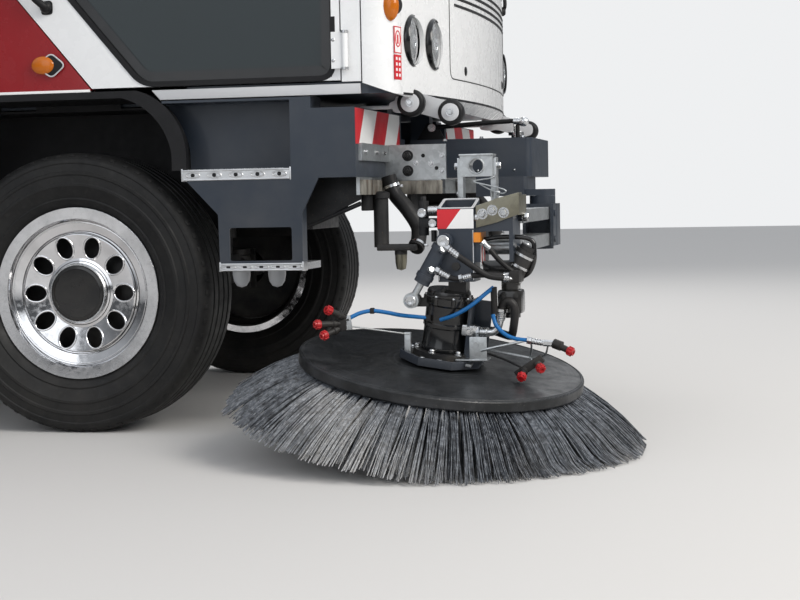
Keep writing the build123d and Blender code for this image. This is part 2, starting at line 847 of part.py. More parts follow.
with BuildPart() as front_beam:
    for side in side_names:
        beam_y = side_span(side, nose_half, plate_y)
        block((box_front, box_front + beam_depth), beam_y, (beam_z[0] + 10, beam_z[1] - 10))
        plate = side_span(side, plate_y, plate_y + 12)
        block((box_front, plate_front), plate, beam_z)
        strip = side_span(side, plate_y + 11, half_width - 40)
        block((box_front, box_front + 12), strip, strip_z)
        folded = side_span(side, plate_y + 2, plate_y + 8)
        block((box_front + 10, plate_front - 20), folded, (low_strip_z, beam_z[0] + 1))
        lower = side_span(side, box_inner + 5, half_width - 60)
        block((box_front - 14, box_front - 2), lower, (low_strip_z, box_bottom))
keep(front_beam, "front_beam")

# Kerb broom: bracket, turret, twin arms, column, head and brush
bracket_z = (800, nose_z[0])
bracket_clear = 45
tongue_half = 48
with BuildPart() as broom_bracket:
    inner_y = turret_y - turret_half - 10
    block((1300, nose_front - 15), (inner_y, -bracket_clear), bracket_z)
    tongue_y = (turret_y - tongue_half, turret_y + tongue_half)
    tongue_z = (bracket_z[0], bracket_z[0] + 24)
    block((nose_front - 20, turret_x), tongue_y, tongue_z)
    upright(turret_x, turret_y, tongue_z, tongue_half)
    upright(turret_x, turret_y, (turret_z[0] - 14, bracket_z[0] + 1), turret_pin)
    collar = (turret_z[0] - 14 - fit_gap, turret_z[0] - fit_gap)
    upright(turret_x, turret_y, collar, turret_pin + 14)
keep(broom_bracket, "broom_bracket")

with BuildPart() as broom_turret:
    turret_span = (turret_x - turret_half, turret_x + turret_half)
    turret_body_z = (turret_z[0], turret_z[1] - 30)
    block(turret_span, (turret_y - turret_half, turret_y + turret_half), turret_body_z)
    upright_edges = broom_turret.edges().filter_by(Axis.Z)
    fillet(upright_edges, 18)
    upright(turret_x, turret_y, turret_z, tongue_half)
    upright(turret_x, turret_y, (turret_z[0] - 5, turret_z[1] + 5), turret_pin + fit_gap, Mode.SUBTRACT)
    cheek = 12
    for end in (-1, 1):
        cheek_x = turret_x + end * (arm_half_width + 3)
        cheek_span = (cheek_x, cheek_x + end * cheek)
        block(cheek_span, (arm_inner_y - 28, turret_y - turret_half + 20), turret_body_z)
    for pin_z in arm_pins_z:
        pin_x = (turret_x - arm_half_width - cheek - 8, turret_x + arm_half_width + cheek + 8)
        long_pin(arm_inner_y, pin_z, pin_x, arm_pin)
keep(broom_turret, "broom_turret")

for pin_z, name in zip(arm_pins_z, ("lower", "upper")):
    with BuildPart() as broom_arm:
        bar_x = (turret_x - arm_half_width, turret_x + arm_half_width)
        bar_z = (pin_z - arm_half_height, pin_z + arm_half_height)
        block(bar_x, (arm_outer_y, arm_inner_y), bar_z)
        for pin_y in (arm_inner_y, arm_outer_y):
            long_pin(pin_y, pin_z, bar_x, arm_half_height)
            long_pin(pin_y, pin_z, bar_x, arm_pin + fit_gap, Mode.SUBTRACT)
    keep(broom_arm, f"broom_arm_{name}")

column_y = broom_y
with BuildPart() as broom_column:
    column_span = (column_x - column_half, column_x + column_half)
    column_side = (column_y - column_half, column_y + column_half)
    block(column_span, column_side, column_z)
    fillet(broom_column.edges().filter_by(Axis.Z), 10)
    hollow_x = (column_span[0] + column_wall, column_span[1] - column_wall)
    hollow_y = (column_side[0] + column_wall, column_side[1] - column_wall)
    block(hollow_x, hollow_y, (column_z[0] - 5, column_z[1] + 5), Mode.SUBTRACT)
    # The open top slopes down towards the outside
    with BuildSketch(facing_front(column_span[0] - 5)):
        Polygon(
            (column_side[0] - 5, column_z[1] - top_slope),
            (column_side[1] + 5, column_z[1]),
            (column_side[1] + 5, column_z[1] + 50),
            (column_side[0] - 5, column_z[1] + 50),
            align=None,
        )
    extrude(amount=2 * column_half + 10, mode=Mode.SUBTRACT)
    # Fork beside the column that takes the two arms
    fork_z = (arm_pins_z[0] - 40, arm_pins_z[1] + 25)
    web_z = (arm_pins_z[1] - 40, fork_z[1])
    near_x = turret_x - arm_half_width - 3
    far_x = turret_x + arm_half_width + 3
    block((column_span[1], near_x), (column_side[0] + 12, arm_outer_y + 32), fork_z)
    block((far_x, far_x + 12), (column_side[0] + 12, arm_outer_y + 32), fork_z)
    block((near_x, far_x), (column_side[0] + 12, column_side[0] + 40), web_z)
    for pin_z in arm_pins_z:
        long_pin(arm_outer_y, pin_z, (near_x - 1, far_x + 26), arm_pin)
    cross_pin(column_x, tilt_pin_z, (column_side[0] - 1, column_side[1] + 1), tilt_pin + fit_gap, Mode.SUBTRACT)
    # Pin for the tilt ram's barrel
    cross_pin(ram_top[0], ram_top[1], (column_side[0] + 2, ram_y - 26), ram_pin)
keep(broom_column, "broom_column")

lock_x = (1412, 1517)
lock_y = -1290
lock_z = (866, 932)
lock_eye_radius = 22
foot_z = (fork_z[1] + 2, fork_z[1] + 18)
with BuildPart() as lock_bracket:
    block(lock_x, (lock_y - 30, lock_y + 30), lock_z)
    eye_x = (lock_x[0] + lock_x[1]) / 2
    eye_z = (lock_z[0] + lock_z[1]) / 2
    cross_pin(eye_x, eye_z, (lock_y - 31, lock_y + 31), lock_eye_radius, Mode.SUBTRACT)
    for post_x in ((lock_x[0] - 6, lock_x[0] + 8), (lock_x[1] - 8, lock_x[1] + 6)):
        block(post_x, (lock_y - 22, lock_y + 22), (foot_z[0], lock_z[1] - 10))
    block((lock_x[0] - 6, lock_x[1] + 6), (column_side[1], lock_y + 22), foot_z)
keep(lock_bracket, "lock_bracket")

# The head tilts with the disc, so it is built on the brush's own plane
head_origin = Vector(datum_x + broom_x, datum_y + broom_y, broom_z)
head_plane = Plane(origin=head_origin, x_dir=(1, 0, 0), z_dir=broom_axis)
plate_seat = 8
with BuildPart() as broom_motor:
    with BuildSketch(head_plane.offset(plate_seat)):
        RegularPolygon(base_plate_radius, 8, rotation=22.5)
    extrude(amount=base_plate)
    with BuildSketch(head_plane.offset(plate_seat + base_plate)):
        Circle(motor_radius + 26)
    extrude(amount=18)
    with BuildSketch(head_plane.offset(plate_seat + base_plate)):
        Circle(motor_radius)
    extrude(amount=motor_height)
    # Tongue up into the column and the pin through it
    tongue = 34
    block((column_x - 30, column_x + 26), (column_y - tongue, column_y + tongue), (500, tilt_pin_z + 22))
    cross_pin(column_x, tilt_pin_z, (column_side[0] - 8, column_side[1] + 8), tilt_pin)
    # Lug for the tilt ram's foot
    lug_y = (column_side[0] - 2, column_side[0] + 14)
    block((ram_foot[0], 1380), lug_y, (ram_foot[1] - 22, ram_foot[1] + 6))
    cross_pin(ram_foot[0], ram_foot[1], lug_y, 22)
    block((1340, 1380), (column_side[0] - 2, column_y), (ram_foot[1] - 42, ram_foot[1] + 6))
    cross_pin(ram_foot[0], ram_foot[1], (lug_y[1], ram_y - 24), ram_pin)
keep(broom_motor, "broom_motor")

with BuildPart() as broom_disc:
    with BuildSketch(head_plane.offset(-disc_thickness)):
        Circle(disc_radius)
    extrude(amount=disc_thickness)
    fillet(broom_disc.edges().group_by(SortBy.LENGTH)[-1], 6)
    with BuildSketch(head_plane):
        Circle(60)
    extrude(amount=plate_seat - fit_gap)
keep(broom_disc, "broom_disc")

with BuildPart() as broom_bristles:
    section = Plane(origin=head_origin, x_dir=head_plane.x_dir, z_dir=-head_plane.y_dir)
    with BuildSketch(section):
        Polygon(
            (bristle_root - 70, -disc_thickness),
            (bristle_root, -disc_thickness),
            (bristle_tip, -bristle_drop),
            (bristle_tip - 190, -bristle_drop),
            align=None,
        )
    revolve(axis=Axis(head_origin, broom_axis))
keep(broom_bristles, "broom_bristles")

ram_length = sqrt((ram_top[0] - ram_foot[0]) ** 2 + (ram_top[1] - ram_foot[1]) ** 2)
ram_plane = Plane(
    origin=(datum_x + ram_top[0], datum_y + ram_y, ram_top[1]),
    x_dir=(0, 1, 0),
    z_dir=(ram_foot[0] - ram_top[0], 0, ram_foot[1] - ram_top[1]),
)
ram_eye_half = 15
with BuildPart() as tilt_ram_barrel:
    with BuildSketch(ram_plane.offset(18)):
        Circle(ram_barrel_radius)
    extrude(amount=ram_length - 80)
    with BuildSketch(ram_plane.offset(40)):
        Circle(ram_rod_radius + fit_gap)
    extrude(amount=ram_length, mode=Mode.SUBTRACT)
    cross_pin(ram_top[0], ram_top[1], (ram_y - ram_eye_half, ram_y + ram_eye_half), ram_eye_radius)
    bore = (ram_y - ram_eye_half - 1, ram_y + ram_eye_half + 1)
    cross_pin(ram_top[0], ram_top[1], bore, ram_pin + fit_gap, Mode.SUBTRACT)
keep(tilt_ram_barrel, "tilt_ram_barrel")

ram_play = 2
with BuildPart() as tilt_ram_rod:
    with BuildSketch(ram_plane.offset(66)):
        Circle(ram_rod_radius)
    extrude(amount=ram_length - 66 - ram_eye_radius + 6)
    cross_pin(ram_foot[0], ram_foot[1], (ram_y - ram_eye_half, ram_y + ram_eye_half), ram_eye_radius)
    bore = (ram_y - ram_eye_half - 1, ram_y + ram_eye_half + 1)
    cross_pin(ram_foot[0], ram_foot[1], bore, ram_pin + ram_play, Mode.SUBTRACT)
keep(tilt_ram_rod, "tilt_ram_rod")

# Centre roller on its lifting arms, under a hood
arm_wall = 20
with BuildPart() as roller_arms:
    for side in side_names:
        arm_y = side_span(side, roller_half + 22, roller_half + 22 + arm_wall)
        length = sqrt((roller_pivot[0] - roller_x) ** 2 + (roller_pivot[1] - roller_z) ** 2)
        middle = ((roller_pivot[0] + roller_x) / 2, (roller_pivot[1] + roller_z) / 2)
        angle = degrees(atan2(roller_pivot[1] - roller_z, roller_pivot[0] - roller_x))
        with BuildSketch(facing_side(arm_y[0])):
            with Locations(Location((middle[0], middle[1], 0), (0, 0, angle))):
                SlotCenterToCenter(length, 90)
        extrude(amount=-side * arm_wall)
        cross_pin(roller_x, roller_z, side_span(side, roller_half - 25, roller_half + 23), 34)
    shaft_end = roller_half + 30
    cross_pin(roller_pivot[0], roller_pivot[1], (-shaft_end, shaft_end), roller_shaft)
keep(roller_arms, "roller_arms")

tuft_rows = 10
with BuildPart() as sweep_roller:
    ends = (-roller_half, roller_half)
    cross_pin(roller_x, roller_z, ends, roller_radius - 40)
    for row in range(tuft_rows):
        angle = 360 / tuft_rows * row
        tuft = Location((datum_x + roller_x, datum_y, roller_z), (0, angle, 0))
        with Locations(tuft * Location((roller_radius - 95, 0, 0))):
            Box(190, 2 * roller_half, 60)
    cross_pin(roller_x, roller_z, ends, roller_radius + 200, Mode.INTERSECT)
    for side in side_names:
        bore = side_span(side, roller_half - 30, roller_half + 1)
        cross_pin(roller_x, roller_z, bore, 34 + fit_gap, Mode.SUBTRACT)
keep(sweep_roller, "sweep_roller")

with BuildPart() as roller_hood:
    block(hood_x, (-hood_half, hood_half), hood_z)
    inner_x = (hood_x[0] + hood_wall, hood_x[1] - hood_wall)
    inner_y = (-hood_half + hood_wall, hood_half - hood_wall)
    block(inner_x, inner_y, (0, hood_z[1] - hood_wall), Mode.SUBTRACT)
    for side in side_names:
        slot = side_span(side, roller_half + 14, roller_half + 30 + arm_wall)
        slot_x = (inner_x[1] - 5, hood_x[1] + 5)
        block(slot_x, slot, (0, roller_pivot[1] + 60), Mode.SUBTRACT)
keep(roller_hood, "roller_hood")

# Tanks low on both sides between the axles
tank_x = (-wheelbase + 670, -700)
tank_y = (hood_half + 15, half_width - 30)
tank_z = (470, 1120)
with BuildPart() as side_tanks:
    for side in side_names:
        block(tank_x, side_span(side, *tank_y), tank_z)
    fillet(side_tanks.edges().filter_by(Axis.X), 45)
    for side in side_names:
        for strap_x in (tank_x[0] + 260, tank_x[1] - 260):
            hanger = side_span(side, box_inner, tank_y[0] + 60)
            block((strap_x - 45, strap_x + 45), hanger, (rail_bottom + 60, rail_top - 20))
keep(side_tanks, "side_tanks")

# Engine and its housing
with BuildPart() as engine_block:
    block(engine_x, (-engine_half, engine_half), engine_z)
    for foot_x in (engine_x[0] + 80, engine_x[1] - 80):
        foot_half = rail_y + rail_width / 2
        block((foot_x - 40, foot_x + 40), (-foot_half, foot_half), (engine_z[0], engine_z[0] + 40))
keep(engine_block, "engine_block")

vent_rows = 7
vent_columns = 2
with BuildPart() as engine_housing:
    block(housing_x, (-housing_half, housing_half), housing_z)
    top_edges = engine_housing.edges().filter_by(Axis.X).group_by(Axis.Z)[-1]
    fillet(top_edges, 150)
    inner_x = (housing_x[0] + housing_wall, housing_x[1] - housing_wall)
    inner_y = (-housing_half + housing_wall, housing_half - housing_wall)
    block(inner_x, inner_y, (0, housing_z[1] - 160), Mode.SUBTRACT)
    inner_top = (-housing_half + 170, housing_half - 170)
    block(inner_x, inner_top, (housing_z[1] - 161, housing_z[1] - housing_wall), Mode.SUBTRACT)
    # Louvres through both sides, then the fan opening in the roof
    for column in range(vent_columns):
        vent_x = housing_x[0] + 240 + 420 * column
        for row in range(vent_rows):
            vent_z = 1750 + 70 * row
            block((vent_x - 150, vent_x + 150), (-far, far), (vent_z, vent_z + 34), Mode.SUBTRACT)
    for slat in range(9):
        slat_x = housing_x[0] + 200 + 70 * slat
        fan_z = (housing_z[1] - 60, far)
        block((slat_x, slat_x + 38), (-420, 420), fan_z, Mode.SUBTRACT)
    for side in side_names:
        sill = side_span(side, box_inner - 10, housing_half - 20)
        for foot_x in (housing_x[0] + 60, housing_x[1] - 60):
            block((foot_x - 30, foot_x + 30), sill, (housing_z[0], housing_z[0] + 40))
            post = side_span(side, box_inner - 50, box_inner)
            block((foot_x - 30, foot_x + 30), post, (rail_top, housing_z[0] + 40))
keep(engine_housing, "engine_housing")

with BuildPart() as exhaust_stack:
    stack = (-520, housing_half - 240)
    upright(stack[0], stack[1], (housing_z[1], 2840), 55)
    upright(stack[0], stack[1], (2700, 2850), 46, Mode.SUBTRACT)
    upright(stack[0], stack[1], (housing_z[1], housing_z[1] + 14), 85)
keep(exhaust_stack, "exhaust_stack")

# Hopper cradle with the tipping hinge at its rear
hinge_x_mm, hinge_z_mm = tip_hinge
runner_z = 1160
ear_y = (box_inner + 10, box_inner + 40)
lug_y = (ear_y[1] + 5, ear_y[1] + 35)
with BuildPart() as hopper_cradle:
    for side in side_names:
        beam_y = side_span(side, rail_y - 35, rail_y + 35)
        block((hinge_x_mm - 5, hopper_x[1] - 30), beam_y, (rail_top, runner_z))
        ear = side_span(side, box_inner - 35, ear_y[1])
        block((hinge_x_mm - 45, hinge_x_mm + 45), ear, (rail_top, hinge_z_mm + 38))
        cross_pin(hinge_x_mm, hinge_z_mm, side_span(side, ear_y[1] - 5, lug_y[1] + 12), tip_pin)
    block((hinge_x_mm + 200, hinge_x_mm + 280), (-rail_y, rail_y), (rail_top, runner_z - 20))
    block((-1600, -1520), (-rail_y, rail_y), (rail_top, runner_z - 20))
keep(hopper_cradle, "hopper_cradle")


def hopper_section(inset, foot_inset):
    """Hopper section across the truck, with round upper corners."""
    half = hopper_half - inset
    low = hopper_z[0] + foot_inset
    high = hopper_z[1] - inset
    corner = hopper_corner - inset
    slope = 0.293 * corner
    Line((-half, high - corner), (-half, low))
    Line((-half, low), (half, low))
    Line((half, low), (half, high - corner))
    for turn in (-1, 1):
        ThreePointArc(
            (turn * half, high - corner),
            (turn * (half - slope), high - slope),
            (turn * (half - corner), high),
        )
    Line((-half + corner, high), (half - corner, high))


rib_count = 5
rib_proud = 14
with BuildPart() as hopper:
    with BuildSketch(facing_front(hopper_x[0])):
        with BuildLine():
            hopper_section(rib_proud, 0)
        make_face()
    extrude(amount=hopper_x[1] - hopper_x[0])
    rib_pitch = (hopper_x[1] - hopper_x[0] - 70) / (rib_count - 1)
    for rib in range(rib_count):
        with BuildSketch(facing_front(hopper_x[0] + rib_pitch * rib)):
            with BuildLine():
                hopper_section(0, 0)
            make_face()
        extrude(amount=70)
    with BuildSketch(facing_front(hopper_x[0] - 1)):
        with BuildLine():
            hopper_section(hopper_wall + rib_proud, hopper_wall)
        make_face()
    extrude(amount=hopper_x[1] - hopper_x[0] - hopper_wall, mode=Mode.SUBTRACT)
    # Header over the rear opening, which the tailgate hangs from
    with BuildSketch(facing_front(hopper_x[0])):
        with BuildLine():
            hopper_section(rib_proud, 0)
        make_face()
        with Locations((0, header_z - far / 2)):
            Rectangle(far, far, mode=Mode.SUBTRACT)
    extrude(amount=hopper_wall)
    for side in side_names:
        beam_y = side_span(side, rail_y - 35, rail_y + 35)
        block((hinge_x_mm + 50, hopper_x[1] - 30), beam_y, (runner_z + fit_gap, hopper_z[0]))
        lug = side_span(side, *lug_y)
        block((hinge_x_mm - 40, hinge_x_mm + 40), lug, (hinge_z_mm, hopper_z[0]))
        cross_pin(hinge_x_mm, hinge_z_mm, lug, 40)
        cross_pin(hinge_x_mm, hinge_z_mm, lug, tip_pin + fit_gap, Mode.SUBTRACT)
        head_x, head_z = lift_ram_head
        tab = side_span(side, lift_ram_y - 60, lift_ram_y - 32)
        block((head_x - 45, head_x + 45), tab, (head_z - 30, hopper_z[0]))
        cross_pin(head_x, head_z, side_span(side, lift_ram_y - 40, lift_ram_y + 28), lift_pin)
        # Tailgate hinge ears above the rear opening
        for ear_place in (600, 900):
            ear = side_span(side, ear_place, ear_place + 24)
            ear_x = (tailgate_hinge[0] - 18, hopper_x[0] + 20)
            block(ear_x, ear, (tailgate_hinge[1] - 18, tailgate_hinge[1] + 18))
            cross_pin(*tailgate_hinge, side_span(side, ear_place + 24, ear_place + 54), 10)
keep(hopper, "hopper")

with BuildPart() as tailgate:
    gate_rear = hopper_x[0] - tailgate_gap - tailgate_wall
    with BuildSketch(facing_front(gate_rear)):
        with BuildLine():
            hopper_section(0, 0)
        make_face()
    extrude(amount=tailgate_wall)
    block((gate_rear - 10, far), (-far, far), (header_z - tailgate_gap, far), Mode.SUBTRACT)
    for side in side_names:
        for ear_place in (600, 900):
            knuckle_y = side_span(side, ear_place + 26, ear_place + 52)
            strap_x = (gate_rear, gate_rear + 30)
            block(strap_x, knuckle_y, (tailgate_hinge[1] - 90, tailgate_hinge[1] + 18))
            cross_pin(*tailgate_hinge, knuckle_y, 22)
            bore = side_span(side, ear_place + 25, ear_place + 53)
            cross_pin(*tailgate_hinge, bore, 10 + fit_gap, Mode.SUBTRACT)
keep(tailgate, "tailgate")

# Hopper rams, a barrel and a rod on each side
ram_way = Plane(
    origin=(0, 0, 0),
    x_dir=(0, 1, 0),
    z_dir=(lift_ram_head[0] - lift_ram_foot[0], 0, lift_ram_head[1] - lift_ram_foot[1]),
)
lift_length = sqrt(
    (lift_ram_head[0] - lift_ram_foot[0]) ** 2 + (lift_ram_head[1] - lift_ram_foot[1]) ** 2
)


def lift_plane(side, distance):
    """Plane across a hopper ram, at a distance from its foot pin."""
    foot = Vector(datum_x + lift_ram_foot[0], datum_y + side * lift_ram_y, lift_ram_foot[1])
    return Plane(origin=foot + ram_way.z_dir * distance, x_dir=(0, 1, 0), z_dir=ram_way.z_dir)


eye_half = 22
barrel_start = 30
barrel_short = 70
rod_start = 50
with BuildPart() as lift_ram_barrels:
    for side in side_names:
        with BuildSketch(lift_plane(side, barrel_start)):
            Circle(lift_barrel_radius)
        extrude(amount=lift_length - barrel_start - barrel_short)
        with BuildSketch(lift_plane(side, rod_start - 5)):
            Circle(lift_rod_radius + fit_gap)
        extrude(amount=lift_length, mode=Mode.SUBTRACT)
        eye = side_span(side, lift_ram_y - eye_half, lift_ram_y + eye_half)
        cross_pin(*lift_ram_foot, eye, lift_pin + 22)
        cross_pin(*lift_ram_foot, eye, lift_pin + fit_gap, Mode.SUBTRACT)
keep(lift_ram_barrels, "lift_ram_barrels")

with BuildPart() as lift_ram_rods:
    for side in side_names:
        with BuildSketch(lift_plane(side, rod_start)):
            Circle(lift_rod_radius)
        extrude(amount=lift_length - rod_start - lift_pin - lift_eye_play)
        eye = side_span(side, lift_ram_y - eye_half, lift_ram_y + eye_half)
        cross_pin(*lift_ram_head, eye, lift_pin + lift_eye_play + 16)
        cross_pin(*lift_ram_head, eye, lift_pin + lift_eye_play, Mode.SUBTRACT)
keep(lift_ram_rods, "lift_ram_rods")

# Rear bumper and the lamps
bumper_z = (560, 760)
with BuildPart() as rear_bumper:
    block((rear_end, rear_end + 120), (-half_width + 20, half_width - 20), bumper_z)
    fillet(rear_bumper.edges().filter_by(Axis.Z).group_by(Axis.X)[0], 40)
    for side in side_names:
        hanger = side_span(side, rail_y - 35, rail_y + 35)
        block((rear_end + 60, frame_rear + 60), hanger, (bumper_z[1] - 60, rail_bottom))
        block((frame_rear - 60, frame_rear), hanger, (bumper_z[1] - 60, rail_top - 30))
        cluster = side_span(side, 620, half_width - 30)
        block((rear_end + 20, rear_end + 90), cluster, (bumper_z[1], bumper_z[1] + 160))
keep(rear_bumper, "rear_bumper")

with BuildPart() as rear_lamps:
    for side in side_names:
        for lamp_place in (700, 860, 1020):
            lamp_middle = (rear_end, rear_end + 20)
            long_pin(side * lamp_place, bumper_z[1] + 82, lamp_middle, 62)
keep(rear_lamps, "rear_lamps")

# Amber lamps: side markers, front indicators and the roof beacons
indicator_x, indicator_y, indicator_z = (1146, half_width - 44, 1455)
with BuildPart() as amber_lamps:
    for side in side_names:
        with Locations(at(-45, side * (half_width + 9), 1278)):
            Box(120, 18, 58)
        with Locations(at(indicator_x, side * indicator_y, indicator_z)):
            Sphere(50)
    add(cab_outer, mode=Mode.SUBTRACT)
    for side in side_names:
        upright(-120, side * 760, (roof_top, roof_top + 150), 62)
keep(amber_lamps, "amber_lamps")

# Mirrors on bowed arms ahead of the doors
mirror_head = (1190, 1262, mirror_reach)
with BuildPart() as mirrors:
    for side in side_names:
        head_y = side_span(side, mirror_head[1] - 112, mirror_head[2])
        block((mirror_head[0] - 35, mirror_head[0] + 35), head_y, (1960, 2330))
    fillet(mirrors.edges().filter_by(Axis.X), 30)
    for side in side_names:
        for bar_z in (2020, 2270):
            arm = side_span(side, 1050, 1170)
            block((1080, mirror_head[0] + 8), arm, (bar_z - 10, bar_z + 10))
    add(cab_outer, mode=Mode.SUBTRACT)
keep(mirrors, "mirrors")

print(f"datum at x {datum_x:.3f} y {datum_y:.3f}")
print(f"broom axis {broom_axis.X:.5f} {broom_axis.Y:.5f} {broom_axis.Z:.5f}")
print(f"bristle low point {tip_centre.Z - bristle_tip * sqrt(1 - broom_axis.Z ** 2):.1f}")
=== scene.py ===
"""Looks of the street sweeper truck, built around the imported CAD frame.

Places are in millimetres from the truck's datum, on the ground under the middle of the
front axle, as in part.py. What is on both sides is written once, for the left side.
"""

import json
import random
from math import atan2, cos, exp, hypot, pi, radians, sin

import bmesh
import bpy
from mathutils import Matrix, Vector


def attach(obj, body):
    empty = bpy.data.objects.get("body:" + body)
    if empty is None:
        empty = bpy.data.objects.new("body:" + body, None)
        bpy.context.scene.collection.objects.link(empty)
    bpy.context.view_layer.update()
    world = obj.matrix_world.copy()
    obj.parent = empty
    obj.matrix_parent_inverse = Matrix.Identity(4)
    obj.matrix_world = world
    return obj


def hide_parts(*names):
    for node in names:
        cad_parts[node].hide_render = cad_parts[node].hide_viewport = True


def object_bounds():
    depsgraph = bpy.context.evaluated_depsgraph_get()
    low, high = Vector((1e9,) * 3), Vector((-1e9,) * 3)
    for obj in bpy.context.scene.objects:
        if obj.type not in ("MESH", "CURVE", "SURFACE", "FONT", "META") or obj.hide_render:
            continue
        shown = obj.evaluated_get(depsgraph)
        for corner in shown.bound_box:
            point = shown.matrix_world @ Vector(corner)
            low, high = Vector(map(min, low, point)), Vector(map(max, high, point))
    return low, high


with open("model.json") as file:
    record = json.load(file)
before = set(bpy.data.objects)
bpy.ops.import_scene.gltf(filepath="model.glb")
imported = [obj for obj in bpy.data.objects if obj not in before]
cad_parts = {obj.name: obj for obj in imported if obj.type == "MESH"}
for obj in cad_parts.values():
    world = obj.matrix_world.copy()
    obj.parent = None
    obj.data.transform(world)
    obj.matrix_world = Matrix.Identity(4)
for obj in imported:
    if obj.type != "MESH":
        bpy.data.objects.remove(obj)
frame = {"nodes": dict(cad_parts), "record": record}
cad_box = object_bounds()
scene = bpy.context.scene
nodes = frame["nodes"]
dice = random.Random(7)

DATUM = Vector((1.08134, 0.352065, 0.0))
HALF_WIDTH = 1150
TYRE_RADIUS = 490
HALF_TRACK = 960
WHEELBASE = 2850
BRUSH_CENTRE = Vector((1358, -1400, 285))
BRUSH_AXIS = Vector((0.14696, -0.10683, 0.98336)).normalized()
AHEAD, BACK, OUT, RIGHT = (1, 0, 0), (-1, 0, 0), (0, 1, 0), (0, -1, 0)
UP, DOWN = (0, 0, 1), (0, 0, -1)

# The loops over SIDES set the side on which at() and the shapes put y; they end on the
# left, so that y keeps its sign outside them.
SIDES = {-1: "right", 1: "left"}
side = 1


def at(x, y, z):
    """The frame's metres for a place on the present side."""
    return Vector((x, side * y, z)) / 1000 + DATUM


# Camera at the photograph's angle

yaw, pitch, roll = (radians(a) for a in (12.41, 3.62, -1.12))
ahead = Vector((-sin(yaw) * cos(pitch), cos(yaw) * cos(pitch), -sin(pitch)))
level = Vector((cos(yaw), sin(yaw), 0))
lift = level.cross(ahead)
side_way = level * cos(roll) + lift * sin(roll)
up_way = lift * cos(roll) - level * sin(roll)
camera_data = bpy.data.cameras.new("camera")
camera_data.sensor_width = 36
camera_data.lens = 74.88
camera_data.clip_end = 100
camera = bpy.data.objects.new("camera", camera_data)
turn = Matrix((side_way, up_way, -ahead)).transposed().to_4x4()
camera.matrix_world = Matrix.Translation((3.4356, -6.1690, 0.8129)) @ turn
scene.collection.objects.link(camera)
scene.camera = camera


# Materials


class Finish:
    """A node material under construction, in object coordinates."""

    def __init__(self, name, colour, rough, metallic=0.0, **extra):
        self.material = bpy.data.materials.new(name)
        self.material.use_nodes = True
        self.tree = self.material.node_tree
        self.shader = self.tree.nodes["Principled BSDF"]
        self.shader.inputs["Metallic"].default_value = metallic
        for socket, value in extra.items():
            self.shader.inputs[socket.replace("_", " ")].default_value = value
        self.colour = self.rgb(colour)
        self.rough = rough
        self.place = self.node("TexCoord").outputs["Object"]
        self.height = None

    def node(self, kind, **settings):
        made = self.tree.nodes.new("ShaderNode" + kind)
        for key, value in settings.items():
            if hasattr(made, key):
                setattr(made, key, value)
            else:
                made.inputs[key].default_value = value
        return made

    def link(self, source, target):
        self.tree.links.new(source, target)

    def rgb(self, colour):
        made = self.node("RGB")
        made.outputs[0].default_value = (*colour, 1)
        return made.outputs[0]

    def noise(self, scale, detail=4, stretch=None):
        made = self.node("TexNoise", Scale=scale, Detail=detail, Roughness=0.55)
        place = self.place
        if stretch:
            mapping = self.node("Mapping", Scale=stretch)
            self.link(place, mapping.inputs["Vector"])
            place = mapping.outputs[0]
        self.link(place, made.inputs["Vector"])
        return made.outputs["Fac"]

    def ramp(self, value, low, high, start=0.0, end=1.0):
        limits = {"From Min": low, "From Max": high, "To Min": start, "To Max": end}
        made = self.node("MapRange", **limits)
        self.link(value, made.inputs["Value"])
        return made.outputs["Result"]

    def times(self, a, b):
        made = self.node("Math", operation="MULTIPLY", use_clamp=True)
        self.link(a, made.inputs[0])
        self.link(b, made.inputs[1])
        return made.outputs[0]

    def over(self, factor, colour):
        """Lays another colour over the finish where the factor says."""
        made = self.node("Mix", data_type="RGBA")
        self.link(factor, made.inputs["Factor"])
        self.link(self.colour, made.inputs[6])
        self.link(self.rgb(colour), made.inputs[7])
        self.colour = made.outputs[2]

    def mottle(self, scale, colour, low=0.45, high=0.75, stretch=None, most=1.0):
        self.over(self.ramp(self.noise(scale, stretch=stretch), low, high, 0.0, most), colour)

    def dust(self, top, most, colour=(0.30, 0.27, 0.23)):
        """Road dust that thins out with height, in metres."""
        parts = self.node("SeparateXYZ")
        self.link(self.place, parts.inputs[0])
        low_down = self.ramp(parts.outputs["Z"], 0.0, top, most, 0.0)
        patchy = self.ramp(self.noise(7, 6), 0.35, 0.75)
        self.over(self.times(low_down, patchy), colour)

    def bump(self, value, strength, distance):
        made = self.node("Bump", Strength=strength, Distance=distance)
        self.link(value, made.inputs["Height"])
        if self.height is not None:
            self.link(self.height, made.inputs["Normal"])
        self.height = made.outputs[0]

    def done(self, rough_scale, rough_spread):
        half = rough_spread / 2
        varied = self.ramp(self.noise(rough_scale), 0.3, 0.7, self.rough - half, self.rough + half)
        self.link(varied, self.shader.inputs["Roughness"])
        self.link(self.colour, self.shader.inputs["Base Color"])
        if self.height is not None:
            self.link(self.height, self.shader.inputs["Normal"])
        return self.material


def shade(colour, factor, lift=0.0):
    return [c * factor + lift for c in colour]


def body_paint(name, colour, rough, dust, coat):
    made = Finish(name, colour, rough, Coat_Weight=coat, Coat_Roughness=0.08, Specular_IOR_Level=0.35)
    made.mottle(2.2, shade(colour, 0.86), 0.4, 0.8, most=0.5)
    made.mottle(55, shade(colour, 0.8), 0.62, 0.8, most=0.2)
    made.dust(1.5, dust)
    made.bump(made.noise(2, 2), 0.06, 0.004)
    return made.done(18, 0.10)


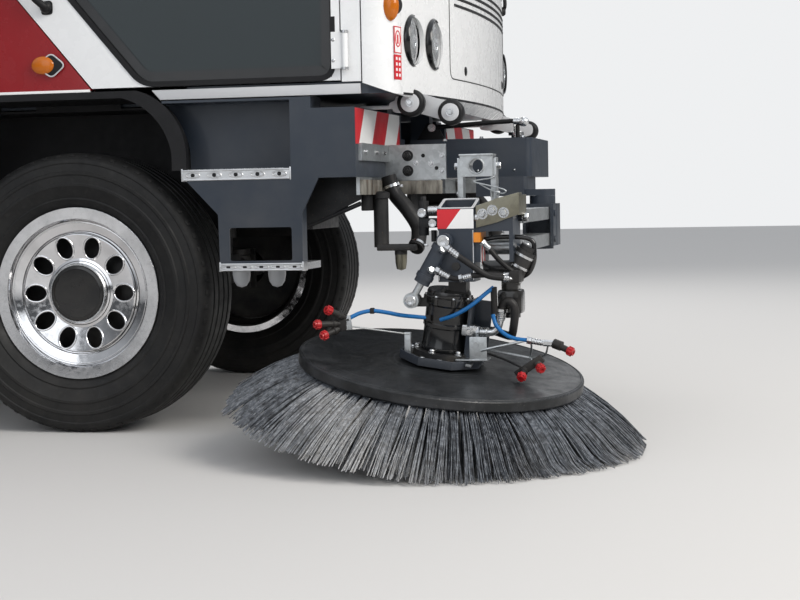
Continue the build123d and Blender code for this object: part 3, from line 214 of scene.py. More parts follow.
def raw_plastic(name, colour, rough, grain, dust, speck=None):
    made = Finish(name, colour, rough, Specular_IOR_Level=0.28)
    made.mottle(14, shade(colour, 1.5, 0.003), 0.45, 0.8, most=0.7)
    if speck:
        made.mottle(160, speck, 0.62, 0.72, most=0.5)
    made.dust(1.0, dust)
    made.bump(made.noise(grain, 3), 0.35, 0.0006)
    return made.done(40, 0.16)


def bare_metal(name, colour, rough, stretch=(1, 1, 1), scratch=0.2, dust=0.2, spangle=0.0):
    made = Finish(name, colour, rough, 1.0)
    made.mottle(9, shade(colour, 0.55), 0.42, 0.8, most=0.7)
    if spangle:
        cells = made.node("TexVoronoi", Scale=spangle)
        made.link(made.place, cells.inputs["Vector"])
        split = made.node("SeparateColor")
        made.link(cells.outputs["Color"], split.inputs[0])
        made.over(made.ramp(split.outputs[0], 0.0, 1.0, 0.0, 0.5), shade(colour, 1.35))
    made.dust(1.2, dust)
    made.bump(made.noise(240, 4, stretch), scratch, 0.0006)
    return made.done(60, 0.2)


def tyre_finish():
    made = Finish("tyre_rubber", (0.008, 0.008, 0.0085), 0.60, Specular_IOR_Level=0.28)
    made.mottle(6, (0.015, 0.015, 0.0145), 0.4)
    made.mottle(60, (0.028, 0.027, 0.025), 0.55, 0.8, most=0.5)
    made.dust(0.5, 0.3, (0.075, 0.068, 0.06))
    made.bump(made.noise(420, 3), 0.3, 0.0008)
    return made.done(25, 0.2)


def disc_finish():
    """Black plate with scuffs that run round its centre, and grit."""
    made = Finish("brush_plate", (0.009, 0.010, 0.011), 0.42, Specular_IOR_Level=0.4)
    away = made.node("VectorMath", operation="DISTANCE")
    made.link(made.place, away.inputs[0])
    away.inputs[1].default_value = at(*BRUSH_CENTRE)
    rings = made.node("TexNoise", noise_dimensions="1D", Scale=90, Detail=5)
    made.link(away.outputs["Value"], rings.inputs["W"])
    ring_marks = made.ramp(rings.outputs["Fac"], 0.48, 0.72)
    patchy = made.ramp(made.noise(3.5, 3), 0.42, 0.7)
    made.over(made.times(ring_marks, patchy), (0.060, 0.064, 0.070))
    outer = made.ramp(away.outputs["Value"], 0.26, 0.44)
    worn = made.times(outer, made.ramp(made.noise(11, 6), 0.45, 0.75))
    made.over(worn, (0.040, 0.042, 0.046))
    made.mottle(190, (0.26, 0.24, 0.21), 0.66, 0.76, most=0.7)
    made.bump(rings.outputs["Fac"], 0.25, 0.001)
    made.bump(made.noise(150, 4), 0.25, 0.0012)
    return made.done(20, 0.25)


def bristle_finish(name, colour, light, dark):
    made = Finish(name, colour, 0.36, Specular_IOR_Level=0.5)
    # The lighter mottle paints highlights on the wires.
    made.mottle(120, light, 0.45, 0.7, most=0.8)
    made.mottle(45, dark, 0.46, 0.66, most=0.9)
    made.dust(0.14, 0.35, (0.22, 0.20, 0.175))
    return made.done(80, 0.2)


def fabric_finish():
    made = Finish("seat_cloth", (0.045, 0.052, 0.066), 0.85, Sheen_Weight=0.25)
    made.mottle(30, (0.075, 0.082, 0.10), 0.4, 0.7)
    weave = made.node("TexWave", Scale=140, Distortion=1.5)
    made.link(made.place, weave.inputs["Vector"])
    made.over(made.ramp(weave.outputs["Fac"], 0.3, 0.9, 0.0, 0.5), (0.02, 0.024, 0.03))
    made.bump(weave.outputs["Fac"], 0.5, 0.0012)
    return made.done(30, 0.1)


def glass(name, colour, rough, transmission):
    made = Finish(name, colour, rough, Transmission_Weight=transmission, IOR=1.45)
    made.mottle(5, shade(colour, 0.85), 0.4, 0.8, most=0.6)
    return made.done(12, 0.02)


def rusty_finish():
    """Worn galvanised bar with streaks of rust and dirt running down it."""
    made = Finish("rusty_bar", (0.30, 0.285, 0.25), 0.6, 0.55)
    made.mottle(30, (0.07, 0.06, 0.05), 0.42, 0.62, (1, 1, 0.2))
    made.mottle(16, (0.20, 0.10, 0.05), 0.55, 0.72, (1, 1, 0.4), 0.8)
    made.bump(made.noise(120, 4), 0.3, 0.001)
    return made.done(40, 0.2)


M = {
    # name, colour, roughness, dust, coat
    "white": body_paint("white_paint", (0.78, 0.79, 0.80), 0.28, 0.10, 0.25),
    "red": body_paint("red_paint", (0.25, 0.006, 0.010), 0.26, 0.10, 0.3),
    "slate": body_paint("slate_paint", (0.024, 0.033, 0.048), 0.40, 0.16, 0.12),
    "stripe_red": body_paint("stripe_red", (0.58, 0.02, 0.03), 0.35, 0.05, 0.0),
    "stripe_white": body_paint("stripe_white", (0.82, 0.82, 0.82), 0.35, 0.05, 0.0),
    "patch_orange": body_paint("patch_orange", (0.72, 0.24, 0.02), 0.4, 0.05, 0.0),
    "light_grey": body_paint("light_grey_paint", (0.52, 0.53, 0.55), 0.4, 0.1, 0.1),
    "black_gloss": body_paint("black_gloss", (0.0045, 0.005, 0.006), 0.20, 0.10, 0.35),
    "hose_blue": body_paint("hose_blue", (0.005, 0.125, 0.36), 0.3, 0.05, 0.0),
    "cap_red": body_paint("cap_red", (0.42, 0.014, 0.018), 0.32, 0.05, 0.0),
    # name, colour, roughness, grain, dust, specks
    "black": raw_plastic("black_plastic", (0.006, 0.006, 0.007), 0.5, 700, 0.2),
    "iron": raw_plastic("black_iron", (0.013, 0.014, 0.016), 0.45, 260, 0.3, (0.09, 0.06, 0.045)),
    "hose": raw_plastic("hose_rubber", (0.008, 0.008, 0.009), 0.45, 900, 0.15),
    "dash": raw_plastic("dash_plastic", (0.035, 0.036, 0.040), 0.6, 500, 0.0),
    # name, colour, roughness, stretch of the scratches, their depth, dust, size of the spangles
    "zinc": bare_metal("zinc_coat", (0.46, 0.48, 0.49), 0.42, (1, 1, 1), 0.3, 0.25, 70),
    "khaki": bare_metal("yellow_zinc", (0.21, 0.20, 0.155), 0.45, (1, 1, 1), 0.3, 0.2, 50),
    "steel": bare_metal("bright_steel", (0.62, 0.63, 0.64), 0.27, (1, 1, 6), 0.15, 0.1),
    "grate": bare_metal("bare_aluminium", (0.66, 0.67, 0.68), 0.36, (1, 14, 1), 0.25, 0.15),
    "chrome": bare_metal("polished_rim", (0.80, 0.80, 0.81), 0.10, (1, 1, 1), 0.02, 0.05),
    "mirror": bare_metal("mirror_face", (0.86, 0.87, 0.88), 0.05, (1, 1, 1), 0.0, 0.0),
    # name, colour, roughness, transmission
    "pane": glass("cab_pane", (0.008, 0.017, 0.020), 0.03, 0.12),
    "lens": glass("lamp_lens", (0.88, 0.90, 0.92), 0.04, 0.8),
    "amber": glass("amber_lens", (0.62, 0.16, 0.006), 0.15, 0.2),
    "red_lens": glass("red_lens", (0.42, 0.006, 0.010), 0.15, 0.2),
    # name, colour, painted highlight on the wires, darker wires
    "bristle": bristle_finish(
        "bristle", (0.085, 0.095, 0.112), (0.27, 0.285, 0.31), (0.012, 0.013, 0.016)
    ),
    # A darker copy of the bristle finish: painted shade for the inner rows, which sit under the plate behind
    # the outer rows.
    "bristle_shaded": bristle_finish(
        "bristle_shaded", (0.018, 0.020, 0.024), (0.05, 0.054, 0.06), (0.005, 0.005, 0.006)
    ),
    "rusty": rusty_finish(),
    "tyre": tyre_finish(),
    "disc": disc_finish(),
    "seat": fabric_finish(),
}

FINISH_SLOT = {
    "white": "paint_white",
    "red": "paint_red",
    "slate": "paint_slate",
    "black": "black_plastic",
    "iron": "black_iron",
    "zinc": "galvanised",
    "grate": "grating",
    "chrome": "rim_chrome",
    "tyre": "tyre",
    "pane": "glass_clear",
    "lens": "glass_lamp",
    "amber": "glass_amber",
    "red_lens": "glass_red",
    "seat": "seat_fabric",
    "dash": "dash_plastic",
    "bristle": "bristle",
    "disc": "disc_black",
    "hose": "spring_rubber",
}
slot_finish = {slot: finish for finish, slot in FINISH_SLOT.items()}
for part in frame["record"]["subparts"]:
    nodes[part["node"]].data.materials.clear()
    nodes[part["node"]].data.materials.append(M[slot_finish[part["material_slot"]]])


# Shapes


def circle(count, start=0.0):
    """The cosine and sine of each step round a full turn."""
    angles = [2 * pi * (step + start) / count for step in range(count)]
    return [(cos(angle), sin(angle)) for angle in angles]


def look_along(way):
    """A turn that carries +Z onto a direction."""
    return Vector(way).to_track_quat("Z", "Y").to_matrix().to_4x4()


def smooth_line(points, steps):
    """Places on a smooth curve that passes through the points."""
    made = []
    for index in range(len(points) - 1):
        before, here = points[max(index - 1, 0)], points[index]
        there, after = points[index + 1], points[min(index + 2, len(points) - 1)]
        for step in range(steps):
            t = step / steps
            bend = (2 * before - 5 * here + 4 * there - after) * t * t
            bend += (3 * here - before - 3 * there + after) * t**3
            made.append(0.5 * (2 * here + (there - before) * t + bend))
    return [*made, points[-1]]


def rounded(points, radius, steps=5):
    """A closed outline with its corners rounded."""
    made = []
    for index, here in enumerate(points):
        here = Vector(here)
        before = Vector(points[index - 1]) - here
        after = Vector(points[(index + 1) % len(points)]) - here
        reach = min(radius, before.length * 0.45, after.length * 0.45)
        start, end = here + before.normalized() * reach, here + after.normalized() * reach
        for step in range(steps + 1):
            t = step / steps
            made.append(start * (1 - t) ** 2 + here * 2 * t * (1 - t) + end * t * t)
    return made


def oblong(across, up, radius, steps=5):
    """A rounded oblong between limits across and limits in height."""
    (a, b), (c, d) = across, up
    return rounded(((a, c), (b, c), (b, d), (a, d)), radius, steps)


def grown(points, distance):
    """A closed anticlockwise outline grown outward by a distance."""
    made = []
    for index, here in enumerate(points):
        way = Vector(points[(index + 1) % len(points)]) - Vector(points[index - 1])
        made.append(Vector(here) + Vector((way.y, -way.x)).normalized() * distance)
    return made


def dense(points, length, whole):
    """A closed outline with places added along its straight parts, about a length apart."""
    made = []
    for a, b in zip(points, points[1:] + points[:1]):
        count = max(1, whole((b - a).length / length))
        made += [a + (b - a) * step / count for step in range(count)]
    return made


def cab_side(z):
    """Distance of the cab's side wall from the centreline at a height."""
    return HALF_WIDTH - max(0, z - 1620) / 830 * 30


def cab_front(y, z):
    """Where the cab's front wall is at a place across and a height."""
    return 1300 - 100 * max(0, z - 1620) / 830 - 128 * (y / 1050) ** 2


def on_nose(y, z, proud):
    """A place that stands out from the cab's front wall."""
    return cab_front(y, z) + proud, y, z


class Piece:
    """One mesh under construction; what its shapes are given is in millimetres."""

    made = []

    def __init__(self, name, finish, body="chassis", angle=38, replaces=(), fill=None):
        self.name, self.finish, self.body, self.fill = name, finish, body, fill
        self.angle, self.replaces = angle, replaces
        self.mesh = bmesh.new()
        self.made.append(self)

    def soften(self, verts, offset):
        edges = {edge for vert in verts for edge in vert.link_edges}
        bmesh.ops.bevel(
            self.mesh, geom=list(edges), offset=offset, segments=2, profile=0.6, affect="EDGES"
        )

    def slab(self, middle, size, turn, bevel=2.0):
        """A box about a middle, turned by a matrix."""
        size = [length / 1000 for length in size]
        matrix = Matrix.Translation(at(*middle)) @ turn @ Matrix.Diagonal((*size, 1))
        made = bmesh.ops.create_cube(self.mesh, size=1, matrix=matrix)["verts"]
        if bevel:
            self.soften(made, min(bevel / 1000, min(size) * 0.45))

    def box(self, x, y, z, bevel=2.0):
        """A box between limits along each axis."""
        middle = [(a + b) / 2 for a, b in (x, y, z)]
        self.slab(middle, [abs(b - a) for a, b in (x, y, z)], Matrix(), bevel)

    def rod(self, start, end, radius, sides=20):
        a, b = at(*start), at(*end)
        bmesh.ops.create_cone(
            self.mesh,
            cap_ends=True,
            segments=sides,
            radius1=radius / 1000,
            radius2=radius / 1000,
            depth=(b - a).length,
            matrix=Matrix.Translation((a + b) / 2) @ look_along(b - a),
        )

    def ball(self, middle, radii, rings=12):
        size = Matrix.Diagonal((*(radius / 1000 for radius in radii), 1))
        matrix = Matrix.Translation(at(*middle)) @ size
        bmesh.ops.create_uvsphere(
            self.mesh, u_segments=rings * 2, v_segments=rings, radius=1, matrix=matrix
        )

    def bridge(self, low, high):
        """Faces between two rings; one place in a ring makes a fan."""
        count = max(len(low), len(high))
        for step in range(count):
            after = (step + 1) % count
            corners = [ring[turn % len(ring)] for ring, turn in (
                (low, step), (low, after), (high, after), (high, step)
            )]
            kept = list(dict.fromkeys(corners))
            if len(kept) > 2:
                self.mesh.faces.new(kept)

    def bridge_all(self, rings, closed=False):
        for low, high in zip(rings, rings[1:] + rings[:1] if closed else rings[1:]):
            self.bridge(low, high)

    def lathe(self, middle, way, profile, sides=32):
        """Turns a profile of (radius, distance along) round an axis; ends at no radius close it."""
        base = Matrix.Translation(at(*middle)) @ look_along((way[0], side * way[1], way[2]))
        rings = []
        for radius, along in profile:
            steps = circle(sides) if radius > 0 else [(0, 0)]
            spots = [Vector((radius * c, radius * s, along)) / 1000 for c, s in steps]
            rings.append([self.mesh.verts.new(base @ spot) for spot in spots])
        self.bridge_all(rings)

    def disc(self, middle, way, radius, height, sides=20):
        self.lathe(middle, way, ((0, 0), (radius, 0), (radius, height), (0, height)), sides)

    def bolt(self, place, way, size=8, washer=True):
        """A hexagon head on a washer, sitting on a face at a place."""
        across, top = size / 2 * 1.15, size * 0.72
        if washer:
            self.disc(place, way, across * 1.45, 1.6)
        head_profile = ((0, 1.5), (across, 1.5), (across, size * 0.6), (across * 0.84, top), (0, top))
        self.lathe(place, way, head_profile, 6)

    def dome(self, place, way, radius, rise=None):
        """A round domed head."""
        rise = rise or radius * 0.7
        arc = [(cos(pi / 10 * step), sin(pi / 10 * step)) for step in range(5)] + [(0, 1)]
        self.lathe(place, way, [(radius, 0)] + [(radius * c, 0.5 + rise * s) for c, s in arc], 20)

    def pin_head(self, place, way, radius, rise=7):
        """A turned pin head with a chamfer and a centre dimple."""
        edge = ((0, 0), (radius, 0), (radius, rise - 2), (radius - 2, rise))
        self.lathe(place, way, (*edge, (radius * 0.4, rise), (0, rise - 2)), 28)

    def fitting(self, start, end, radius):
        """A hose fitting between two places: a hexagon nut and a ribbed sleeve."""
        way = Vector(end) - Vector(start)
        length, r = way.length, radius
        nut = ((0, 0), (r * 1.5, 0), (r * 1.5, length * 0.26), (r, length * 0.3))
        self.lathe(start, way, nut, 6)
        profile = [(r, length * 0.3)]
        for rib in range(4):
            t = 0.34 + rib * 0.16
            for out, along in ((1.22, t), (1.22, t + 0.09), (1.06, t + 0.12)):
                profile.append((r * out, length * along))
        self.lathe(start, way, (*profile, (r * 1.1, length), (0, length)), 18)

    def sweep(self, points, radius, sides=12, closed=False):
        """A round tube that runs straight from place to place."""
        spots = [at(*point) for point in points]
        normal = (spots[1] - spots[0]).orthogonal().normalized()
        rings, last, steps = [], len(spots) - 1, circle(sides)
        for index, spot in enumerate(spots):
            if closed:
                way = spots[(index + 1) % len(spots)] - spots[index - 1]
            else:
                way = spots[min(index + 1, last)] - spots[max(index - 1, 0)]
            way.normalize()
            normal = (normal - way * normal.dot(way)).normalized()
            other = way.cross(normal)
            outs = [(normal * c + other * s) * radius / 1000 for c, s in steps]
            rings.append([self.mesh.verts.new(spot + out) for out in outs])
        self.bridge_all(rings, closed)
        if not closed:
            self.mesh.faces.new(rings[0][::-1])
            self.mesh.faces.new(rings[-1])

    def tube(self, points, radius, sides=12, steps=7):
        """A round tube on a smooth curve through places."""
        self.sweep(smooth_line([Vector(point) for point in points], steps), radius, sides)

    def hoop(self, middle, u, v, radius, count, sides=8):
        """A closed wire on an oval about a middle, with the half axes u and v."""
        middle, u, v = Vector(middle), Vector(u), Vector(v)
        self.sweep([middle + u * c + v * s for c, s in circle(count)], radius, sides, True)

    def plate(self, outline, thickness, bevel=1.5, origin=(0, 0, 0), u=AHEAD, v=UP):
        """An outline of (u, v) places, made into a plate along u x v from its plane."""
        base, u, v = at(*origin), Vector(u), Vector(v)
        verts = [self.mesh.verts.new(base + (u * a + v * b) / 1000) for a, b in outline]
        face = self.mesh.faces.new(verts)
        made = bmesh.ops.extrude_face_region(self.mesh, geom=[face])["geom"]
        moved = [item for item in made if isinstance(item, bmesh.types.BMVert)]
        bmesh.ops.translate(self.mesh, verts=moved, vec=u.cross(v) * thickness / 1000)
        if bevel:
            self.soften(verts + moved, bevel / 1000)

    def side_plate(self, outline, thickness, y, bevel=1.5):
        """An upright plate along the truck that stands outward from a distance across."""
        self.plate(outline, thickness, bevel, (0, y + (thickness if side > 0 else 0), 0))

    def side_frame(self, outer, inner, proud, sunk):
        """A flat frame between two outlines on the cab's side wall, which leans in with height."""
        rings = []
        for line, depth in ((outer, sunk), (outer, proud), (inner, proud), (inner, sunk)):
            rings.append([self.mesh.verts.new(at(x, cab_side(z) + depth, z)) for x, z in line])
        self.bridge_all(rings, True)

    def done(self):
        """Makes the object and hands it to its body."""
        bmesh.ops.recalc_face_normals(self.mesh, faces=self.mesh.faces[:])
        data = bpy.data.meshes.new(self.name)
        self.mesh.to_mesh(data)
        self.mesh.free()
        data.shade_smooth()
        data.set_sharp_from_angle(angle=radians(self.angle))
        data.materials.append(M[self.finish])
        made = bpy.data.objects.new(self.name, data)
        scene.collection.objects.link(made)
        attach(made, self.body)
        if self.replaces:
            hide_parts(*self.replaces)


# Wheels: tyres with ribs and blocks, rims with rolled hole lips, brake drums behind them

TYRE_PROFILE = (
    # radius, distance outward from the wheel's middle
    (288, 116), (304, 118), (316, 134), (330, 143), (336, 141), (344, 146), (372, 153),
    (376, 156), (384, 156), (388, 153), (412, 152), (416, 155), (424, 155), (428, 151),
    (444, 149), (452, 147), (456, 149), (464, 148), (470, 144), (482, 128), (488, 118),
    (490, 98), (490, 84), (477, 82), (477, 72), (490, 70), (490, 34), (478, 32), (478, 22),
    (490, 20), (490, 0),
)
RIM_FACE = HALF_TRACK + 125


def tyre(corner, x):
    made = Piece(f"tyre_{corner}_tread", "tyre", f"wheel_{corner}", 30, (f"tyre_{corner}",))
    inner = [(radius, -out) for radius, out in TYRE_PROFILE[-2::-1]]
    made.lathe((x, HALF_TRACK, TYRE_RADIUS), OUT, (*TYRE_PROFILE, *inner), 120)
    # Shoulder blocks
    for step in range(60):
        turn = Matrix.Rotation(2 * pi * step / 60, 4, "Y")
        spot = Vector((x, HALF_TRACK, TYRE_RADIUS)) + turn @ Vector((0, 0, 475.5))
        for face in (-side, side):
            place = spot + Vector((0, face * 124.5, 0))
            lean = Matrix.Rotation(-side * face * 0.72, 4, "X")
            made.slab(place, (19, 14, 20), turn @ lean)


def rim(corner, x):
    body = f"wheel_{corner}"
    lips = Piece(f"rim_{corner}_lips", "chrome", body, 50)
    for c, s in circle(10):
        ring = []
        for a, b in circle(28):
            out, up = (165 + 40 * a) * c - 31 * b * s, (165 + 40 * a) * s + 31 * b * c
            dish = -28 + 7 * (hypot(out, up) - 165) / 40
            ring.append((x + out, RIM_FACE + dish, TYRE_RADIUS + up))
        lips.sweep(ring, 3.8, 8, True)
    # Dark iron hoops in the valleys between the polished lips: painted shade in the rim's steps.
    groove_shade = Piece(f"rim_{corner}_grooves", "iron", body, 50)
    # radius, depth from the rim's face, thickness
    lip_rings = ((299, -4, 3.5), (288, -9, 2.5), (266, -13, 3.5), (248, -25, 3))
    groove_shade_rings = ((293, -4, 1.3), (281, -7.5, 1.3), (255, -18, 1.6), (214, -22, 1.4), (112, -32, 1.6))
    for piece, rings, sides in ((lips, lip_rings, 8), (groove_shade, groove_shade_rings, 5)):
        for radius, depth, thick in rings:
            middle = (x, RIM_FACE + depth, TYRE_RADIUS)
            piece.hoop(middle, (radius, 0, 0), (0, 0, radius), thick, 72, sides)
    hub = (x, RIM_FACE - 14, TYRE_RADIUS)
    cap = Piece(f"hub_{corner}_cap", "black_gloss", body, 40)
    cap.lathe(hub, OUT, ((96, 0), (98, 4), (95, 9), (86, 11), (84, 8), (0, 9)), 56)
    ring = Piece(f"hub_{corner}_ring", "steel", body, 40)
    ring.lathe(hub, OUT, ((106, -8), (106, 2), (102, 6), (98.5, 6), (98.5, -8)), 56)


def brake(corner, x):
    """The drum, and the inner side of the rim in black: painted shade inside the wheel."""
    middle = (x, HALF_TRACK, TYRE_RADIUS)
    drum = Piece(f"brake_drum_{corner}", "iron", f"wheel_{corner}", 35)
    profile = [(79, 20), (150, 22), (170, 12), (226, 8), (238, 0)]
    for along in (-6, -17, -28, -39):
        profile += [(238, along), (232, along - 3), (232, along - 7), (238, along - 10)]
    drum.lathe(middle, OUT, (*profile, (226, -54), (79, -54), (79, 20)), 56)
    # The rim's inner side is black as painted shade inside the wheel.
    inner = Piece(f"rim_{corner}_inside_shade", "black", f"wheel_{corner}", 35)
    profile = ((268, -124), (264, -60), (245, -38), (245, 20), (243, 20), (243, -40), (261, -62))
    inner.lathe(middle, OUT, (*profile, (265, -124), (268, -124)), 72)


for axle, x in (("front", 0), ("rear", -WHEELBASE)):
    for side, name in SIDES.items():
        for build in (tyre, rim, brake):
            build(f"{axle}_{name}", x)

# Brush: tufts of wires in staggered rows

BRUSH_U = (Vector(AHEAD) - BRUSH_AXIS * BRUSH_AXIS.x).normalized()
BRUSH_V = BRUSH_AXIS.cross(BRUSH_U)
HEAD_TURN = Matrix((BRUSH_U, BRUSH_V, BRUSH_AXIS)).transposed().to_4x4()
LIMITS = [(Vector(corner) - DATUM) * 1000 for corner in cad_box]


def head(u, v, h):
    """A place in the tilted brush head's own frame, in the truck's millimetres."""
    return BRUSH_CENTRE + BRUSH_U * u + BRUSH_V * v + BRUSH_AXIS * h


def heads(*places):
    return [head(*place) for place in places]


def bristle_rows(name, finish, rows, replaces=()):
    """Rows of (root radius, tip radius, tip height, tufts, wires in a tuft)."""
    wires = Piece(name, finish, "broom_brush", 60, replaces)
    for root, tip, drop, tufts, count in rows:
        for tuft in range(tufts):
            middle = 2 * pi * (tuft + dice.uniform(-0.2, 0.2)) / tufts
            lean = dice.uniform(-0.03, 0.03)
            reach = tip * dice.uniform(0.965, 1.0)
            for _ in range(count):
                spread = dice.uniform(-1, 1)
                root_angle = middle + spread * 8 / root
                tip_angle = middle + lean + spread * 20 / tip + dice.uniform(-16, 16) / tip
                root_radius = root + dice.uniform(-7, 4)
                tip_radius = reach + dice.uniform(-18, 9)
                width, bow = dice.uniform(1.3, 2.0), dice.uniform(0.05, 0.16)
                spots = []
                for t in (0, 0.25, 0.5, 0.75, 1):
                    angle = root_angle + (tip_angle - root_angle) * t
                    radius = root_radius + (tip_radius - root_radius) * t * (1 + bow * (1 - t))
                    height = -33 + (drop + 33) * (0.72 * t + 0.28 * t * t)
                    spot = head(radius * cos(angle), radius * sin(angle), height)
                    # Wires that reach the ground bend along it
                    spot.z = max(spot.z, dice.uniform(4, 10))
                    spots.append([min(max(c, a + 2), b - 2) for c, a, b in zip(spot, *LIMITS)])
                wires.sweep(spots, width, 3)


outer_rows = ((426, 676, -196, 120, 8), (408, 640, -194, 108, 7))
inner_rows = ((392, 612, -192, 104, 11), (374, 570, -186, 92, 9))
bristle_rows("brush_bristles", "bristle", outer_rows, ("broom_bristles",))
# The inner rows take the darker copy of the bristle finish, as painted shade inside the brush.
bristle_rows("brush_inner_bristles", "bristle_shaded", inner_rows)
edge = Piece("brush_plate_edge", "disc", "broom_brush", 50)
for radius, height, thick in ((446, -31, 3.2), (441, -1, 3)):
    edge.hoop(head(0, 0, height), BRUSH_U * radius, BRUSH_V * radius, thick, 96)

# Doors: glass borders, seals, handles and hinges

window = rounded(((291, 1207), (957, 1207), (957, 2310), (-160, 2310), (-160, 1743)), 46, 7)
# along, out from the wall, height
lever = ((-44, 4, 1474), (-50, 22, 1480), (-78, 30, 1506), (-126, 30, 1562), (-152, 24, 1592))
lever = [(x, HALF_WIDTH + out, z) for x, out, z in (*lever, (-158, 3, 1600))]
for side, name in SIDES.items():
    body = f"door_{name}"
    border = Piece(f"{body}_glass_border", "black_gloss", body)
    border.side_frame(grown(window, -2), grown(window, -38), -9, -13.5)
    seal = Piece(f"{body}_seal", "black", body, 30)
    seal.side_frame(grown(window, 13), grown(window, -5), 3.5, -12)
    handle = Piece(f"{body}_handle", "black", body, 45)
    handle.tube(lever, 13, 14)
    handle.ball((-47, HALF_WIDTH + 12, 1477), (21, 16, 21))
    foot = rounded(((-70, 1452), (-26, 1452), (-26, 1500), (-60, 1500)), 14)
    handle.side_plate(foot, 5, HALF_WIDTH)
    hinges = Piece(f"{body}_hinge_bolts", "steel", body)
    for middle in (1292, 2150):
        for z in (middle - 34, middle + 34):
            hinges.dome((968, 1168, z), OUT, 8)
        for z in (middle - 60, middle + 60):
            hinges.rod((1006, 1168, z - 4), (1006, 1168, z + 4), 13.5)

# Sill and trim line of the cab

sill = Piece("cab_sill", "light_grey")
trim = Piece("quarter_trim", "stripe_white")
for side in SIDES:
    corners = ((352, 1149), (1052, 1149), (1052, 1183), (322, 1183))
    sill.side_plate(corners, 14, HALF_WIDTH - 14, 3)
    trim.box((-420, 100), (HALF_WIDTH - 10, HALF_WIDTH + 1.6), (1184, 1193), 1)

# Service hatch in the nose, its latches, and a strip along the nose's lower edge

seam = Piece("nose_hatch_seam", "black")
hatch = dense(oblong((-620, 620), (1225, 1545), 40), 60, round)
seam.sweep([on_nose(y, z, 0.4) for y, z in hatch], 2.2, 6, True)
for y in (-430, 430):
    seam.lathe(on_nose(y, 1262, -1), AHEAD, ((0, 0), (17, 0), (17, 3), (13, 5), (0, 5)), 24)
edge = Piece("nose_edge_strip", "black", angle=50)
edge.sweep([on_nose(y, 1152, -3) for y in range(-1040, 1041, 52)], 5, 8)

# Stickers with plain marks below the front indicators

STICKER_TURN = 0.245


def sticker_spot(across, z, proud):
    """A place on the curved front corner, across and out from its face."""
    c, s = cos(STICKER_TURN), sin(STICKER_TURN)
    return on_nose(1080, 1300, 0)[0] + proud * c + across * s, 1080 + proud * s - across * c, z


def mark(piece, across, z, proud, width, height):
    turn = Matrix.Rotation(side * STICKER_TURN, 4, "Z")
    piece.slab(sticker_spot(across, z, proud), (3, width, height), turn, 0)


red_mark = Piece("cab_stickers_red", "stripe_red")
white_mark = Piece("cab_stickers_white", "stripe_white")
for side in SIDES:
    mark(white_mark, 0, 1326, 0.5, 50, 90)
    mark(red_mark, 0, 1236, 0.5, 50, 82)
    ring = [sticker_spot(17 * c, 1330 + 26 * s, 2.2) for c, s in circle(24)]
    red_mark.sweep(ring, 2.2, 6, True)
    mark(red_mark, 0, 1328, 1.2, 10, 30)
    for z in (1283.5, 1369):
        mark(red_mark, 0, z, 1, 50, 3.5)
    for across in (-23.5, 23.5):
        mark(red_mark, across, 1326, 1, 3.5, 88)
    for z in (1210, 1228, 1246, 1264):
        for across in (-11, 11):
            mark(white_mark, across, z, 1.2, 11, 10)

# Amber lamps: diamond side markers, front indicators and roof beacons

amber = Piece("amber_lenses", "amber", angle=45, replaces=("amber_lamps",))
lamp_base = Piece("amber_lamp_bases", "black")
lamp_rim = Piece("side_marker_rims", "light_grey")
diamond = rounded(((16, 1278), (-35, 1320), (-86, 1278), (-35, 1236)), 18, 5)
for side in SIDES:
    lamp_base.side_plate(diamond, 12, HALF_WIDTH - (2 if side < 0 else 0), 3)
    lamp_rim.sweep([(x, HALF_WIDTH + 10, z) for x, z in grown(diamond, 1)], 2.6, 8, True)
    amber.ball((-66, HALF_WIDTH + 8, 1280), (42, 13, 31))
    amber.ball((1150, 1112, 1436), (30, 22, 50))
    profile = ((0, 0), (36, 0), (36, 10), (31, 14), (0, 14))
    lamp_base.lathe((1150, 1096, 1440), (0.55, 0.83, 0), profile, 30)
    foot = (-120, 760, 2690)
    lamp_base.lathe(foot, UP, ((0, 0), (64, 0), (66, 4), (66, 22), (60, 28), (0, 28)), 36)
    amber.lathe(foot, UP, ((58, 26), (58, 110), (54, 130), (42, 143), (22, 149), (0, 150)), 36)

# Headlamps: lens, bowl, bulb and bezel

lens = Piece("headlamp_lenses", "lens", angle=50, replaces=("headlamps",))
bowl = Piece("headlamp_bowls", "mirror")
bezel = Piece("headlamp_bezels", "black_gloss", angle=50)
lens_front = ((78, -12), (78, -5), (73, 0), (50, 5), (25, 8), (0, 9), (0, 6), (25, 5), (50, 2))
bowl_profile = ((78, -14), (74, -16), (62, -30), (42, -44), (16, -54), (0, -54), (0, -58), (79, -58))
for side in SIDES:
    for y, front in ((945, 1192), (770, 1232)):
        place = (front, y, 1333)
        lens.lathe(place, AHEAD, (*lens_front, (71, -3), (74, -12), (78, -12)), 44)
        bowl.lathe(place, AHEAD, bowl_profile, 40)
        bowl.ball((front - 30, y, 1333), (12, 12, 12), 8)
        bezel.lathe(place, AHEAD, ((79, -20), (90, -14), (91, 0), (86, 6), (79, 4)), 48)

# Wipers, windscreen border and grille lines on the nose

